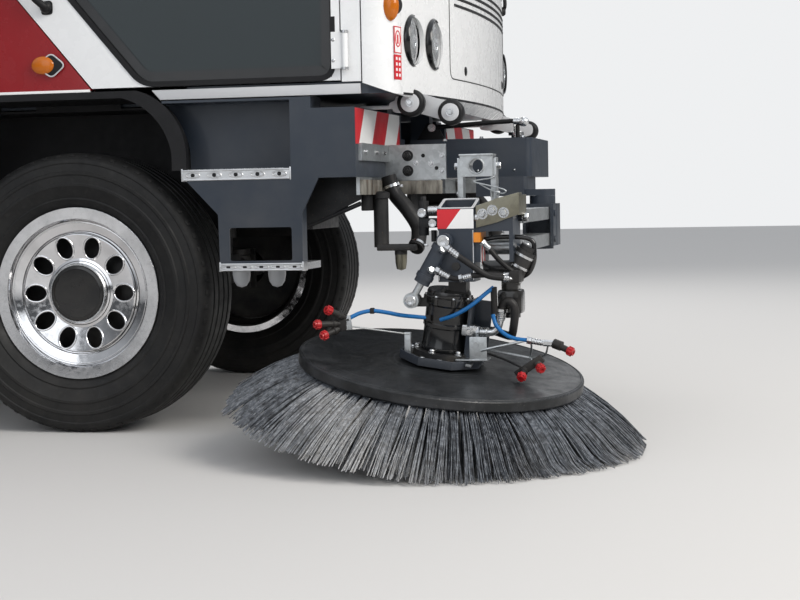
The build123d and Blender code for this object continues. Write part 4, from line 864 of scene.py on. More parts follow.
wipers = Piece("wipers", "black")
for pivot, tip in ((-60, -760), (700, 60)):
    blade = [on_nose(pivot + (tip - pivot) * step / 8 - 20, 1700 + 10 * step, 4) for step in range(9)]
    wipers.tube(blade, 7, 8, 3)
    x, y, z = blade[4]
    root = pivot + 60
    # The arm keeps its distance from the wall at its root
    bend = (cab_front(root, 1640) + 22, root - 30, 1640)
    wipers.tube([(cab_front(root, 1610) + 6, root, 1606), bend, (x + 16, y, z)], 8, 10)
    foot = (cab_front(root, 1600) - 4, root, 1604)
    wipers.lathe(foot, AHEAD, ((0, 0), (20, 0), (20, 12), (14, 20), (0, 20)), 24)
screen = Piece("windscreen_seal", "black")
border = dense(oblong((-990, 990), (1660, 2400), 74, 8), 60, int)
screen.sweep([on_nose(y, z, -4) for y, z in border], 12, 8, True)
grille = Piece("nose_grille", "black")
for z in (1492, 1518, 1544, 1570):
    grille.tube([on_nose(y, z, -1) for y in range(-560, 561, 70)], 6, 8, 2)

# Mirrors

face = Piece("mirror_faces", "mirror")
shell = Piece("mirror_rims", "black")
for side in SIDES:
    for limits in ((1975, 2180), (2195, 2315)):
        face.box((1151, 1156), (1168, 1320), limits, 1.5)
        ring = oblong((1168, 1320), limits, 14, 4)
        shell.sweep([(1153, y, z) for y, z in ring], 5, 8, True)

# Seats, wheel and dashboard


def cushion(name, x, y, z, power=5.0, turn=0.0):
    """A stuffed cushion with rounded faces, inside limits along each axis."""
    made = Piece(name, "seat", angle=60, fill=0.7)
    bmesh.ops.create_cube(made.mesh, size=2)
    bmesh.ops.subdivide_edges(made.mesh, edges=made.mesh.edges[:], cuts=9, use_grid_fill=True)
    size = [(high - low) / 2000 for low, high in (x, y, z)]
    middle = at(*[(low + high) / 2 for low, high in (x, y, z)])
    tilt = Matrix.Rotation(turn, 3, "Y")
    for vert in made.mesh.verts:
        scale = sum(abs(c) ** power for c in vert.co) ** (1 / power)
        puff = Vector([c / scale * s for c, s in zip(vert.co, size)])
        puff.z *= 1 - 0.06 * exp(-(((abs(puff.y) - size[1] * 0.55) / 0.012) ** 2))
        vert.co = middle + tilt @ puff


bases = Piece("seat_bases", "black", replaces=("seats",))
for side, name in SIDES.items():
    cushion(f"seat_{name}_squab", (-60, 436), (262, 758), (1492, 1606))
    cushion(f"seat_{name}_back", (-196, -62), (262, 758), (1560, 2010), 4.5, -0.10)
    cushion(f"seat_{name}_head", (-214, -112), (380, 640), (2010, 2148), 4)
    bases.box((0, 380), (340, 680), (1190, 1480), 12)
    bases.box((-40, 420), (320, 700), (1470, 1500), 8)
    for y in (440, 580):
        bases.rod((-160, y, 1960), (-172, y, 2060), 7)
wheel = Piece("steering_wheel", "black", angle=50)
column_way = Vector((-0.503, 0, 0.864))
hub = Vector((960, 520, 1470)) + column_way * 332
wheel.hoop(hub, (172.8, 0, 100.6), (0, 200, 0), 16.5, 48, 12)
wheel.lathe(hub - column_way * 10, column_way, ((0, 0), (58, 0), (60, 14), (50, 26), (0, 30)))
dash = Piece("dash_details", "dash")
dash.box((905, 985), (370, 670), (1596, 1668), 14)
dash.box((912, 960), (-150, 150), (1596, 1648), 10)
for y in (-900, -560, -260, 280, 860):
    dash.box((893, 903), (y - 55, y + 55), (1500, 1545), 4)
dash.box((700, 890), (20, 160), (1190, 1420), 24)
dash.rod((760, 90, 1415), (745, 90, 1540), 9)
dash.ball((744, 90, 1548), (24, 24, 24), 8)
dials = Piece("dash_dials", "black_gloss")
for y in (450, 590):
    dials.lathe((903, y, 1632), BACK, ((0, 0), (38, 0), (38, 4), (34, 6), (0, 5)))
dials.box((906, 912), (-130, 130), (1604, 1642))

# Front steps, and cups under the lower one


def tread_details(name, x, z):
    """A grating with teeth on top, lipped openings in its outer face with black discs in them for painted
    shade, and end cheeks.
    """
    grate = Piece(f"tread_{name}_{SIDES[side]}", "grate")
    hole_shade = Piece(f"tread_{name}_{SIDES[side]}_holes", "black")
    for edge_z in (z[1] - 2, z[0] + 2):
        grate.rod((x[0] + 4, 1150, edge_z), (x[1] - 4, 1150, edge_z), 3.2, 8)
    for tooth in range(int((x[1] - x[0] - 30) / 20)):
        for row in range(3):
            place = (x[0] + 20 + tooth * 20 + row % 2 * 10, 1142 - row * 9, z[1])
            grate.lathe(place, UP, ((0, 0), (3.6, 0), (2.4, 2.6), (0, 2.6)), 8)
    for along in (0.1, 0.3, 0.5, 0.7, 0.9):
        spot = (x[0] + (x[1] - x[0]) * along, 1150, (z[0] + z[1]) / 2)
        grate.hoop(spot, (24, 0, 0), (0, 0, (z[1] - z[0]) * 0.24), 2.8, 20, 6)
        # A black disc in each opening paints the shade inside it.
        hole_shade.disc(spot, OUT, 7, 1.4, 12)
    for end in x:
        grate.box((end - 3, end + 3), (1100, 1151), (z[0] - 3, z[1] + 5), 1)


for side in SIDES:
    tread_details("upper", (424, 805), (874, 909))
    if side < 0:
        tread_details("lower", (551, 842), (567, 591))
cups = Piece("step_cups", "light_grey", angle=50)
for x in (578, 706):
    cups.lathe((x, -1000, 568), DOWN, ((0, 0), (31, 0), (31, 22), (27, 44), (17, 60), (0, 66)), 26)

# Hazard stripes on the front of the side boxes

red_stripe = Piece("front_stripes_red", "stripe_red")
white_stripe = Piece("front_stripes_white", "stripe_white")
stripes = (
    (red_stripe, ((1148, 985), (1148, 1104), (1019, 1104), (1106, 985))),
    (white_stripe, ((1106, 985), (1019, 1104), (829, 1104), (916, 985))),
    (red_stripe, ((916, 985), (829, 1104), (639, 1104), (726, 985))),
    (white_stripe, ((726, 985), (639, 1104), (470, 1104), (470, 1075), (536, 985))),
    (red_stripe, ((536, 985), (470, 1075), (470, 985))),
)
for side in SIDES:
    for piece, corners in stripes:
        corners = [(side * y, z) for y, z in corners][::-side]
        piece.plate(corners, 2, 0, (1031.2, 0, 0), OUT)

# Beam: its bolts, studs, black discs that paint the shade in each hole, and the bar below it

beam = Piece("beam_bolts", "steel")
hole_shade = Piece("beam_hole_shade", "black")
rust = Piece("beam_lower_bar", "rusty")
studs = Piece("beam_studs", "iron")
for side in SIDES:
    for z in (951, 897):
        studs.bolt((1112, 702, z), OUT, 24)
        studs.rod((1112, 714, z), (1112, 732, z), 7, 12)
    for x, z in ((1142, 926), (1196, 922), (1236, 948), (1236, 895)):
        beam.bolt((x, 702, z), OUT, 13)
    for x, z in ((1168, 950), (1216, 905)):
        # Black discs paint the shade inside the beam's openings.
        hole_shade.disc((x, 702, z), OUT, 7, 1, 14)
    for y in (1060, 900, 780):
        beam.bolt((1043, y, 959), AHEAD, 11)
    rust.box((1036, 1236), (697, 716), (814, 862))
    rust.box((1029, 1041), (704, 1088), (815, 866))
    beam.bolt((1246, 690, 1000), UP, 10)

# Dark frame plates, filters and thick suction hoses below the side boxes

under = Piece("front_subframe", "iron")
filters = Piece("filter_bowls", "khaki", angle=50)
suction = Piece("suction_hoses", "hose", angle=50)
clamps = Piece("hose_clamps", "steel")
route = ((1060, 790, 880), (1080, 790, 820), (1130, 800, 760), (1168, 810, 700), (1176, 850, 650))
route = [Vector(place) for place in (*route, (1172, 878, 626))]
for side in SIDES:
    outline = ((816, 876), (1012, 876), (1012, 800), (930, 762), (818, 700))
    under.side_plate(outline, 12, 994, 2)
    under.box((900, 1012), (640, 1000), (842, 876), 4)
    under.box((818, 838), (640, 1000), (700, 876), 3)
    under.rod((824, 1000, 712), (1010, 1000, 786), 8)
    under.rod((824, 985, 760), (960, 985, 772), 7)
    under.box((1000, 1028), (830, 960), (760, 876), 4)
    under.rod((1052, 880, 800), (1052, 880, 632), 26, 24)
    under.lathe((1052, 880, 800), UP, ((26, 0), (31, 2), (31, 20), (18, 26), (0, 26)), 24)
    under.rod((1010, 880, 812), (1052, 880, 812), 12)
    under.box((1040, 1180), (850, 910), (620, 642), 5)
    under.rod((1120, 880, 620), (1120, 880, 606), 22)
    filters.lathe((1120, 880, 608), DOWN, ((0, 0), (21, 0), (20, 30), (16, 52), (0, 58)), 26)
    suction.tube(route, 27, 18, 8)
    for a, b in (route[:2], route[4:]):
        middle, way = a + (b - a) * 0.6, (b - a).normalized() * 5
        clamps.rod(middle - way, middle + way, 29.5, 24)
        x, y, z = middle
        clamps.box((x + 26, x + 40), (y - 5, y + 5), (z - 5, z + 5), 1)

# Rubber rollers under the nose, on their straps

straps = Piece("nose_roller_straps", "light_grey")
rubber = Piece("nose_rollers", "hose", angle=50)
hubs = Piece("nose_roller_bolts", "steel")
low_edge = ((1100, 1098), (1150, 1090), (1180, 1096), (1300, 1058), (1344, 1070))
plate = rounded((*low_edge, (1344, 1112), (1200, 1160), (1120, 1160)), 18)
corners = ((1096, 1112), (1150, 1096), (1214, 1094), (1214, 1152), (1160, 1152), (1096, 1128))
for side in SIDES:
    for x, z, r in ((1180, 1124, 47), (1318, 1088, 44)):
        profile = ((0, 0), (r * 0.6, 0), (r * 0.62, 6), (r - 6, 6), (r, 12), (r, 44), (r - 6, 50))
        rubber.lathe((x, 915, z), OUT, (*profile, (r * 0.6, 50), (0, 50)), 36)
        profile = ((0, 0), (r * 0.68, 0), (r * 0.68, 6), (r * 0.6, 8), (0, 8))
        straps.lathe((x, 963, z), OUT, profile)
        hubs.bolt((x, 971, z), OUT, 17)
    straps.side_plate(plate, 6, 897)
    straps.side_plate(rounded(corners, 8), 5, 912)
    straps.box((990, 1118), (880, 906), (1108, 1120), 3)

# Linkage rod with its ball end over the nose box, and the towing pin

link = Piece("nose_linkage", "black")
link.tube([(1110, -232, 1066), (1200, -232, 1072), (1330, -232, 1080), (1432, -232, 1084)], 9, 12, 3)
link.plate(((1050, 1020), (1160, 1020), (1128, 1080), (1090, 1084)), 12, 2, (0, -226, 0))
link.rod((1440, -232, 1019), (1440, -232, 1070), 8)
ends = Piece("nose_linkage_ends", "steel")
ends.rod((1425, -232, 1083), (1452, -232, 1082), 13)
ends.ball((1462, -232, 1080), (22, 16, 18))
ends.disc((1110, -246, 1066), OUT, 15, 28)
pin = ((0, 0), (19, 0), (19, 172), (30, 172), (30, 184), (12, 190), (0, 190))
ends.lathe((1400, 0, 865), UP, pin, 28)
loop = [(1400, y, z) for y, z in ((-26, 1048), (-30, 1078), (0, 1092), (30, 1078), (26, 1048))]
ends.tube(loop, 5, 8, 5)
for y in (-228, 228):
    for x in (1300, 1460):
        ends.bolt((x, y, 1020), UP, 12)
for side in SIDES:
    for x in (1220, 1290, 1360, 1430):
        ends.dome((x, 265, 898), OUT, 5)

# Kerb broom: column, lock bracket, plates and what hangs behind the fork


def head_box(piece, u, v, h, bevel=1.5):
    """A box between limits in the tilted head's own frame."""
    middle = head(*[(a + b) / 2 for a, b in (u, v, h)])
    piece.slab(middle, [abs(b - a) for a, b in (u, v, h)], HEAD_TURN, bevel)


band = Piece("column_band_white", "stripe_white", "broom_column")
band.plate(((1392, 705), (1477, 705), (1477, 765), (1437, 765)), 1.4, 0, (0, -1458, 0))
band = Piece("column_band_red", "stripe_red", "broom_column")
band.plate(((1363, 705), (1392, 705), (1437, 765), (1363, 765)), 1.4, 0, (0, -1458, 0))
band.hoop((1496.6, -1404, 622), (0, 26, 0), (0, 0, 30), 2.2, 28, 6)
patch = Piece("fork_patch_orange", "patch_orange", "broom_column")
patch.box((1495, 1496.5), (-1442, -1346), (662, 692), 0)
patch.box((1476, 1496), (-1459.4, -1446), (662, 692), 0)
patch = Piece("fork_patch_white", "stripe_white", "broom_column")
patch.box((1495, 1496.4), (-1440, -1368), (586, 657), 0)
edge = Piece("column_top_edge", "light_grey", "broom_column")
for inset in (2.5, 7):
    ring = oblong((1362 + inset, 1478 - inset), (-1458 + inset, -1342 - inset), 9, 4)
    # The column's top slopes across
    edge.sweep([(x, y, 766.5 + (y + 1458) * 30 / 116) for x, y in ring], 2.6, 6, True)
for x in (1366, 1474):
    edge.rod((x, -1456, 545), (x, -1456, 700), 1.6, 6)

pins = Piece("column_pin_heads", "steel", "broom_column")
pins.pin_head((1392, -1513, 668), RIGHT, 19, 12)
for z in (640, 735):
    pins.bolt((1610, -1318, z), AHEAD, 26)
    pins.bolt((1494, -1318, z), BACK, 18, False)
for x, z in ((1504, 749), (1535, 760), (1570, 752)):
    pins.bolt((x, -1452, z), RIGHT, 20)
pins.dome((1484, -1446, 738), RIGHT, 12)
for x, way in ((1406, BACK), (1523, AHEAD)):
    pins.bolt((x, -1290, 899), way, 22)
    pins.bolt((x, -1290, 812), way, 14)
pins.rod((1362, -1430, 764), (1330, -1430, 764), 11)
pins.pin_head((1307, -1416, 754), RIGHT, 15, 8)
pins.pin_head((1341, -1416, 722), RIGHT, 14, 8)
valve = Piece("column_valve", "iron", "broom_column")
valve.rod((1309, -1400, 684), (1309, -1400, 792), 16)
valve.box((1296, 1362), (-1416, -1386), (708, 738), 5)
valve.box((1318, 1362), (-1410, -1390), (744, 776), 4)
valve.rod((1309, -1400, 792), (1309, -1400, 806), 9, 6)
valve.rod((1341, -1400, 700), (1341, -1400, 664), 9, 14)
khaki = Piece("fork_plates", "khaki", "broom_column")
outline = ((1483, 706), (1549, 722), (1618, 747), (1618, 812), (1541, 793), (1483, 774))
khaki.plate(outline, 6, 1.5, (0, -1446, 0))
khaki.slab((1579, -1417, 801), (80, 64, 6), Matrix.Rotation(-atan2(19, 77), 4, "Y"), 1)
khaki.box((1600, 1618), (-1446, -1290), (744, 806))
khaki.box((1483, 1495), (-1446, -1300), (758, 776))
lock = Piece("lock_bracket_trim", "zinc", "broom_column")
lock.hoop((1464.5, -1320, 899), (24, 0, 0), (0, 0, 24), 3, 32)
lock.box((1410, 1519), (-1328, -1258), (931, 937), 1.5)
for x in (1402, 1521):
    lock.box((x, x + 6), (-1312, -1268), (780, 925), 1.5)
wire = ((1524, -1312, 872), (1512, -1326, 860), (1457, -1330, 851), (1500, -1334, 838))
wire += ((1545, -1332, 826), (1560, -1330, 817), (1546, -1330, 811), (1512, -1330, 822))
lock.tube([*wire, (1476, -1330, 842)], 2.3, 8)
lock.rod((1512, -1322, 800), (1512, -1322, 822), 4, 10)

black = Piece("fork_hydraulics", "black_gloss", "broom_column")
pipe = ((1500, -1400, 668), (1550, -1400, 676), (1625, -1400, 673), (1652, -1400, 660))
pipe += ((1656, -1400, 636), (1655, -1400, 600), (1640, -1398, 566), (1612, -1390, 548))
black.tube(pipe, 7.5)
black.box((1540, 1618), (-1420, -1340), (436, 512), 12)
black.box((1552, 1606), (-1412, -1348), (508, 560), 8)
black.rod((1578, -1380, 436), (1578, -1380, 424), 30, 24)
black.box((1500, 1590), (-1440, -1410), (560, 604), 6)
for x in (1560, 1600):
    black.rod((x, -1419, 494), (x, -1424, 494), 10, 6)
canister = Piece("fork_canister", "iron", "broom_column")
canister.rod((1580, -1396, 540), (1632, -1396, 632), 33, 28)
canister.rod((1620, -1396, 611), (1640, -1396, 646), 25, 24)
rings = Piece("fork_canister_rings", "steel", "broom_column")
half = Vector((52, 0, 92)).normalized() * 4
for t in (0.12, 0.5, 0.84):
    middle = Vector((1580, -1396, 540)).lerp(Vector((1632, -1396, 632)), t)
    rings.rod(middle - half, middle + half, 35, 28)
for start, end, radius in (
    ((1398, -1512, 652), (1440, -1520, 620), 9),
    ((1366, -1512, 580), (1410, -1518, 557), 9),
    ((1440, -1514, 552), (1478, -1514, 562), 9),
    ((1500, -1440, 662), (1524, -1440, 640), 8),
    ((1598, -1500, 551), (1574, -1508, 553), 9),
    ((1598, -1482, 560), (1572, -1490, 560), 9),
):
    rings.fitting(start, end, radius)
manifold = Piece("fork_manifold", "black", "broom_column")
manifold.box((1592, 1624), (-1512, -1410), (538, 574), 4)
hoses = Piece("column_hoses", "hose", "broom_column", 50)
long_hose = ((1438, -1520, 622), (1469, -1521, 601), (1490, -1521, 586), (1530, -1517, 561))
for radius, route in (
    (9.5, (*long_hose, (1576, -1508, 553))),
    (8.5, ((1408, -1518, 558), (1424, -1517, 553), (1442, -1514, 552))),
    (8.5, ((1476, -1514, 561), (1500, -1510, 563), (1540, -1500, 563), (1574, -1490, 560))),
    (8, ((1522, -1440, 642), (1548, -1440, 610), (1590, -1440, 572), (1600, -1430, 566))),
):
    hoses.tube(route, radius, 14, 9)

top, foot = Vector((1392, -1497, 668)), Vector((1286, -1497, 486))
way = (foot - top).normalized()
collars = Piece("tilt_ram_collars", "slate", "tilt_ram_barrel")
ports = Piece("tilt_ram_ports", "zinc", "tilt_ram_barrel")
for start, end, r in ((18, 34, 28), (118, 132, 28), (132, 138, 22)):
    collars.rod(top + way * start, top + way * end, r, 30)
for along in (40, 112):
    spot = top + way * along
    collars.rod(spot, spot + Vector((18, -24, 10)), 12, 16)
    ports.rod(spot + Vector((16, -21, 9)), spot + Vector((21, -27, 12)), 10, 6)

# Head: motor rings, flange bolts, base plate rim, side plates, ports and hose

motor = Piece("motor_rings", "black_gloss", "broom_head", 40)
fixings = Piece("motor_fixings", "steel", "broom_head")
profile = ((67, 40), (70, 44), (70, 58), (67.4, 62), (67.4, 116), (71, 120), (71, 130), (67.4, 134))
profile += ((67.4, 186), (73, 192), (73, 212), (69, 216), (69, 226), (66, 233), (0, 233))
motor.lathe(BRUSH_CENTRE, BRUSH_AXIS, profile, 56)
for c, s in circle(8, 0.5):
    motor.rod(head(73 * c, 73 * s, 192), head(73 * c, 73 * s, 214), 7, 12)
    fixings.bolt(head(72 * c, 72 * s, 214), BRUSH_AXIS, 9, False)
for c, s in circle(6, 0.25):
    nut = ((0, 0), (12, 0), (12, 3), (9.5, 4), (9.5, 9), (6, 13), (0, 14))
    fixings.lathe(head(82 * c, 82 * s, 42), BRUSH_AXIS, nut, 20)
fixings.pin_head((1286, -1513, 486), RIGHT, 17, 11)
fixings.pin_head((1420, -1341, 588), OUT, 20, 10)

plates = Piece("head_side_plates", "slate", "broom_head")
head_box(plates, (74, 82), (-46, 52), (24, 205))
head_box(plates, (74, 134), (48, 56), (24, 205))
head_box(plates, (70, 132), (-52, 52), (22, 30))
for v in (-44, 44):
    low, high = (
        [plates.mesh.verts.new(at(*head(u, across, h))) for u, h in ((82, 30), (128, 30), (82, 110))]
        for across in (v, v + 6)
    )
    plates.mesh.faces.new(low[::-1])
    plates.mesh.faces.new(high)
    plates.bridge(low, high)
rim_corners = [(134 * c, 134 * s) for c, s in circle(8, 0.5)]
for (u0, v0), (u1, v1) in zip(rim_corners, rim_corners[1:] + rim_corners[:1]):
    turn = HEAD_TURN @ Matrix.Rotation(atan2(v1 - v0, u1 - u0), 4, "Z")
    size = (hypot(u1 - u0, v1 - v0) + 4, 6, 26)
    plates.slab(head((u0 + u1) / 2, (v0 + v1) / 2, 21), size, turn, 1.5)
base_bolts = Piece("base_plate_bolts", "steel", "broom_head")
for u, v in ((-104, -40), (-104, 40), (-40, 104), (40, 104), (-44, -108), (10, -112), (112, -20), (112, 24)):
    base_bolts.bolt(head(u, v, 24), BRUSH_AXIS, 13)

ports = Piece("motor_ports", "steel", "broom_head")
head_box(ports, (58, 106), (-44, -10), (104, 138), 4)
ports.fitting(head(104, -28, 118), head(140, -30, 122), 13)
elbow = ((138, -30, 122), (156, -30, 127), (168, -29, 142), (172, -28, 160), (172, -27, 172))
ports.tube(heads(*elbow), 12, 16)
ports.fitting(head(172, -26, 202), head(172, -27, 166), 13)
ports.bolt(head(82, -45, 121), -BRUSH_V, 16)
hose = Piece("motor_hoses", "hose", "broom_head", 50)
loop = ((172, -26, 196), (174, -27, 214), (190, -30, 229), (209, -31, 218), (216, -30, 190), (216, -26, 150))
loop += ((212, -8, 122), (202, 30, 108), (178, 68, 102), (146, 84, 104), (118, 76, 106))
hose.tube(heads(*loop), 13, 16)
saddle = Piece("motor_hose_clips", "zinc", "broom_head")
head_box(saddle, (88, 130), (56, 60), (86, 130), 2)
saddle.fitting(head(108, 56, 108), head(120, 78, 106), 12)

# Water nozzles: brackets, blue hoses, black bodies and red caps

steel = Piece("nozzle_brackets", "zinc", "broom_head")
steel.box((1464, 1518), (-1496, -1491), (302, 372), 1.5)
steel.box((1420, 1520), (-1500, -1430), (298, 303), 1.5)
steel.rod((1484, -1499, 348), (1484, -1490, 348), 9, 18)
head_box(steel, (92, 110), (-110, -60), (22, 30), 1)
for start, end, width in (
    ((1262, -1450, 378), (1082, -1560, 414), 26),
    ((1470, -1400, 332), (1644, -1420, 300), 22),
):
    a, b = Vector(start), Vector(end)
    steel.slab((a + b) / 2, (width, 4, (b - a).length), look_along(b - a), 1)
steel.box((1252, 1272), (-1460, -1446), (300, 384), 1.5)
steel.plate(((1064, 396), (1112, 402), (1106, 446), (1078, 440)), 4, 1, (0, -1562, 0))
for radius, route in (
    (4, ((1500, -1496, 330), (1540, -1500, 340), (1600, -1490, 352), (1640, -1480, 361))),
    (3, ((1641, -1420, 302), (1650, -1450, 330), (1652, -1474, 356))),
    (3, ((1644, -1420, 300), (1690, -1450, 312), (1704, -1472, 344))),
    (4, ((1644, -1422, 298), (1652, -1470, 288), (1656, -1496, 284))),
):
    steel.tube(route, radius, 8)

bodies = Piece("nozzle_bodies", "black", "broom_head")
caps = Piece("nozzle_caps", "cap_red", "broom_head", 35)
silver = Piece("nozzle_fittings", "steel", "broom_head")
for root, tip in (
    ((1086, -1566, 440), (1046, -1610, 466)),
    ((1070, -1566, 420), (1010, -1612, 421)),
    ((1070, -1564, 404), (1030, -1608, 386)),
    ((1726, -1472, 348), (1778, -1490, 326)),
    ((1636, -1500, 276), (1630, -1540, 252)),
    ((1670, -1498, 296), (1690, -1532, 278)),
):
    a, b = Vector(root), Vector(tip)
    way, length = (b - a).normalized(), (b - a).length
    profile = ((0, -6), (9, -6), (9, 8), (13, 10), (13, 20), (10, 23), (10, length - 8), (0, length - 8))
    bodies.lathe(a, way, profile, 18)
    cap_foot = b - way * 14
    profile = ((0, 0), (12, 0), (13, 3), (13, 13), (10.5, 16), (10.5, 21), (6, 21), (6, 17), (0, 17))
    caps.lathe(cap_foot, way, profile, 24)
    for step in range(8):
        turn = look_along(way) @ Matrix.Rotation(2 * pi * step / 8, 4, "Z")
        caps.slab(cap_foot + way * 9 + turn @ Vector((13, 0, 0)), (4, 5, 14), turn, 0.8)
bodies.box((1048, 1094), (-1572, -1562), (398, 452), 4)
bodies.slab((1650, -1500, 282), (98, 24, 26), Matrix.Rotation(-0.58, 4, "Y"), 4)
bodies.rod((1722, -1470, 350), (1746, -1478, 342), 15)
silver.fitting((1640, -1480, 361), (1690, -1474, 352), 8)
silver.rod((1690, -1474, 352), (1726, -1470, 349), 10, 6)
silver.fitting((1100, -1560, 436), (1080, -1562, 430), 7)
silver.fitting(head(88, -40, 214), head(104, -44, 226), 7)
blue = Piece("water_hoses", "hose_blue", "broom_head", 50)
left_hose = ((1098, -1560, 434), (1130, -1540, 450), (1166, -1522, 456), (1210, -1506, 449))
left_hose += ((1250, -1494, 440), (1296, -1482, 434), (1330, -1470, 430))
for route in (
    left_hose,
    ((1372, -1482, 424), (1420, -1492, 440), (1470, -1494, 468), (1510, -1490, 500), (1540, -1480, 524)),
    ((1536, -1478, 440), (1546, -1482, 408), (1574, -1488, 380), (1606, -1486, 366), (1642, -1480, 361)),
):
    blue.tube(route, 6.5, 12, 8)
thin = Piece("nozzle_lines", "hose", "broom_head")
route = ((1440, -1430, 322), (1500, -1440, 318), (1560, -1460, 302), (1610, -1486, 284), (1630, -1498, 276))
thin.tube(route, 3.5, 8, 6)
thin.box((1160, 1172), (-1532, -1512), (447, 465))
thin.box((1324, 1340), (-1478, -1462), (420, 438))
thin.rod((1540, -1480, 524), (1540, -1470, 440), 10, 14)

# Engine housing: louvre blades, a mesh behind them, doors, latches and hinges

blades = Piece("housing_louvres", "red")
screen = Piece("housing_screens", "black")
seams = Piece("housing_seams", "black")
latches = Piece("housing_latches", "black_gloss")
hinges = Piece("housing_hinges", "steel")
for side in SIDES:
    for x in (-1145, -725):
        for z in range(1773, 2194, 70):
            blades.slab((x, 1114, z), (304, 46, 2.5), Matrix.Rotation(side * 0.72, 4, "X"), 0)
        screen.box((x - 160, x + 160), (1080, 1086), (1735, 2235), 0)
    # limits of a door, its hinged edge, the middle of its latches
    for limits, hinge_x, latch_x in (((-1372, -925), -1372, -985), ((-915, -444), -444, -855)):
        ring = oblong(limits, (1225, 2340), 24, 4)
        seams.sweep([(x, 1120, z) for x, z in ring], 2.2, 6, True)
        for z in (1330, 2120):
            hinges.rod((hinge_x, 1122, z - 45), (hinge_x, 1122, z + 45), 8, 14)
            hinges.box((hinge_x - 24, hinge_x + 24), (1119, 1123), (z - 38, z + 38), 1)
        for z in (1450, 1640):
            latches.box((latch_x - 26, latch_x + 26), (1118, 1127), (z - 42, z + 42), 6)
            hinges.disc((latch_x, 1126, z + 18), OUT, 9, 3, 16)
for line in range(24):
    screen.rod((-1205 + 27 * line, -430, 2484), (-1205 + 27 * line, 430, 2484), 2, 4)
for line in range(32):
    screen.rod((-1205, -430 + 27.7 * line, 2486), (-560, -430 + 27.7 * line, 2486), 2, 4)

STACK_X, STACK_Y = -520, 880
stack = Piece("exhaust_rings", "steel")
for z in (2548, 2690, 2800):
    stack.lathe((STACK_X, STACK_Y, z), UP, ((56, 0), (61, 3), (61, 17), (56, 20)), 36)
stack.lathe((STACK_X, STACK_Y, 2540), UP, ((92, 0), (92, 4), (80, 6), (80, 0)), 36)
for c, s in circle(4, 0.5):
    stack.bolt((STACK_X + 72 * c, STACK_Y + 72 * s, 2534), UP, 12)
guard = Piece("exhaust_guard", "iron", angle=50)


def on_guard(turn, z):
    """A place on the guard round the exhaust, which is open at the front."""
    return STACK_X + 66 * cos(pi * turn), STACK_Y + 66 * sin(pi * turn), z


for bar in range(13):
    guard.rod(on_guard(0.3 + bar / 10, 2570), on_guard(0.3 + bar / 10, 2780), 3.2, 6)
for z in (2570, 2675, 2780):
    guard.sweep([on_guard(0.3 + 1.2 * step / 20, z) for step in range(21)], 3.4, 6)

# Hopper: rivets along the ribs, inspection hatches, side reflectors

rivets = Piece("hopper_rivets", "red", "hopper", 50)
hatch = Piece("hopper_hatches", "red", "hopper")
trim = Piece("hopper_hatch_seals", "black", "hopper")
metal = Piece("hopper_hatch_metal", "steel", "hopper")
marker = Piece("side_reflectors", "amber", "hopper")
base = Piece("side_reflector_bases", "black", "hopper")
for side in SIDES:
    for rib in range(5):
        for x in (-4036 + 642.5 * rib, -3994 + 642.5 * rib):
            for step in range(9):
                rivets.dome((x, 1124.6, 1270 + 145 * step), OUT, 7, 4)
    trim.box((-3275, -2835), (1110, 1114), (1680, 2240), 1)
    trim.box((-4048, -1412), (1110, 1122), (1197, 1212), 3)
    hatch.box((-3262, -2848), (1110, 1121), (1693, 2227), 5)
    for z in (1790, 2130):
        metal.rod((-3270, 1118, z - 40), (-3270, 1118, z + 40), 6.5, 14)
        metal.box((-3264, -3215), (1118, 1123), (z - 26, z + 26), 1)
        metal.box((-2880, -2822), (1116, 1124), (z - 14, z + 14), 3)
    for x in (-3690, -3050, -2440, -1800):
        base.box((x - 52, x + 52), (1110, 1116), (1238, 1278), 3)
        marker.box((x - 46, x + 46), (1115, 1122), (1243, 1273), 3)

# Tailgate: ribs, hazard stripes, seal, latches and a drain

ribs = Piece("tailgate_ribs", "white", "tailgate")
for z in (1560, 1880, 2200):
    ribs.box((-4130, -4114), (-1010, 1010), (z - 32, z + 32), 10)
for y in (-1040, 1040):
    ribs.box((-4128, -4114), (y - 26, y + 26), (1440, 2400), 8)
red = Piece("rear_stripes_red", "stripe_red", "tailgate")
white = Piece("rear_stripes_white", "stripe_white", "tailgate")
locks = Piece("tailgate_latches", "steel", "tailgate")
for side in SIDES:
    for index, piece in enumerate((red, white, red, white, red)):
        foot = index * 100
        corners = ((foot, 1245), (foot + 100, 1245), (foot + 200, 1385), (foot + 100, 1385))
        corners = [(side * (min(u, 500) - 1085), z) for u, z in corners][::side]
        piece.plate(corners, 1.5, 0, (-4116.1, 0, 0), RIGHT)
    locks.box((-4138, -4114), (1058, 1098), (1204, 1236), 4)
    locks.rod((-4132, 1078, 1220), (-4132, 1078, 1420), 9, 14)
    locks.bolt((-4116, 1078, 1425), BACK, 18)
    for y in (623, 923):
        locks.rod((-4092, y, 2640), (-4092, y - 4, 2640), 15, 16)
for y in (-700, 0, 700):
    for z in (1560, 1880, 2200):
        locks.bolt((-4130, y, z), BACK, 12)
seal = Piece("tailgate_seal", "hose", "tailgate", 50)
seal.sweep([(-4053, y, z) for y, z in oblong((-1098, 1098), (1222, 2560), 60)], 2.6, 8, True)
drain = Piece("tailgate_drain", "black_gloss", "tailgate")
profile = ((66, 0), (66, 8), (54, 12), (54, 22), (40, 27), (0, 27))
drain.lathe((-4116, -300, 1330), BACK, profile, 36)
drain.box((-4146, -4140), (-356, -244), (1322, 1338), 3)

# Rear bumper: lamp bezels, a bare number plate and its holder

